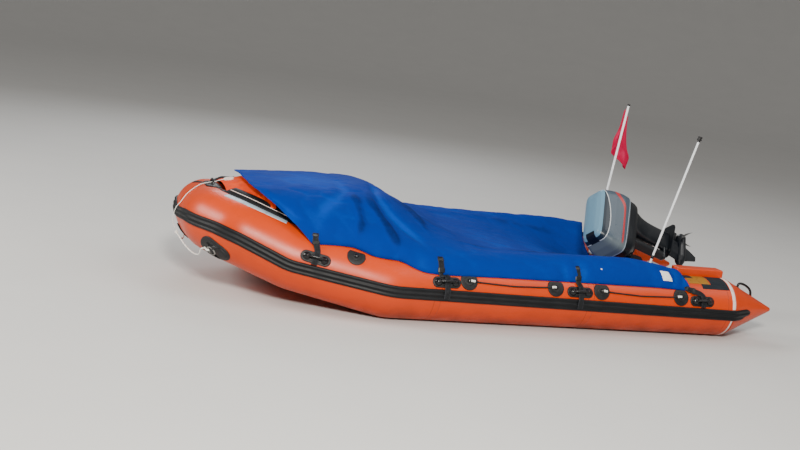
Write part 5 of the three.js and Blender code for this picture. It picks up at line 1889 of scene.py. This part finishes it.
flagCut = {
    "top": 1.694,
    "hoist": 0.300,
    "rows": 90,
    "columns": 120,
    "y": -0.4750,
    # share of the fly, sideways from the staff, depth, droop
    "folds": [
        (0.00, -0.012, 0.000, 0.000),
        (0.12, 0.006, 0.012, 0.050),
        (0.28, 0.052, -0.006, 0.118),
        (0.42, -0.010, -0.013, 0.155),
        (0.55, -0.075, 0.010, 0.195),
        (0.70, -0.135, 0.013, 0.245),
        (0.84, -0.155, -0.004, 0.262),
        (1.00, -0.110, -0.014, 0.230),
    ],
}


def addFlag(f, m):
    # limp cloth: every thread of the fly follows one folded line, gathered at the staff's top and
    # drooping more towards its free edge
    folds = np.array(f["folds"])
    s = np.linspace(0, 1, f["columns"])
    line = np.stack([np.interp(s, folds[:, 0], folds[:, i]) for i in (1, 2, 3)], 1)
    line = softened(line, 4)
    t = np.linspace(0, 1, f["rows"])[:, None]
    gather = 0.24 + 0.76 * ease(0.0, 0.7, t)
    z = f["top"] - t * f["hoist"] - line[None, :, 2] * (0.35 + 0.65 * ease(0.0, 0.5, t))
    foot, top = np.array(m["foot"]), np.array(m["top"])
    staffX = foot[0] + (top[0] - foot[0]) * (z - foot[2]) / (top[2] - foot[2])
    x = staffX + line[None, :, 0] * gather + 0.004 * np.sin(t * 9 + s * 7)
    y = f["y"] + line[None, :, 1] * (0.5 + 0.5 * gather) + 0.002 * np.sin(t * 14 - s * 11)
    grid = np.stack([x, y, z], -1)
    # painted fold shade and highlight: made-up waves that darken and lighten the cloth, not its folded shape
    relief = 0.5 + 0.3 * waves(s[None] * 3 + 0 * t, t + 0 * s[None], 61, 0.7)
    uv = np.stack(np.broadcast_arrays(s[None] * 0.45, t * f["hoist"]), -1)
    piece = clothPiece("limp_flag", grid, uv, {"relief": relief}, 0.0008, split=True)
    dress(piece, flagCloth, "hull", ["flag"])
    gridArea(grid)


# the three colours: painted shadow in the folds, the cloth's own red, painted highlight on the ridges
flagCloth = clothFinish("flag_red", (0.14, 0.0008, 0.012), (0.42, 0.003, 0.045), (0.55, 0.03, 0.10))
addFlag(flagCut, masts["staff"])
print("stage: masts and flag")

# carried-over parts

boardPaint = paintFinish("board_grey", (0.34, 0.35, 0.36), (0.2, 0.19, 0.17), 0.5)

plainFinish = {
    "hull_bottom": orangeSkin,
    "keel_strip": blackRubber,
    "stem_strip": blackRubber,
    "transom": boardPaint,
    "clamp_bracket": castMetal,
    "swivel_bracket": castMetal,
    "engine_block": ironGrey,
    "gearcase": blackPaint,
    "propeller": blackPaint,
    "light_mast": polePaint,
    "flag_staff": polePaint,
    "mast_lamp": blackPlastic,
}
for node, finish in plainFinish.items():
    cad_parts[node].data.materials.clear()
    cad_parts[node].data.materials.append(finish)
for node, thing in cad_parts.items():
    if node not in plainFinish and not thing.hide_render:
        thing.data.materials.clear()
        thing.data.materials.append(patchRubber)
print("stage: carried-over parts")

# finish

print("stage: finished")
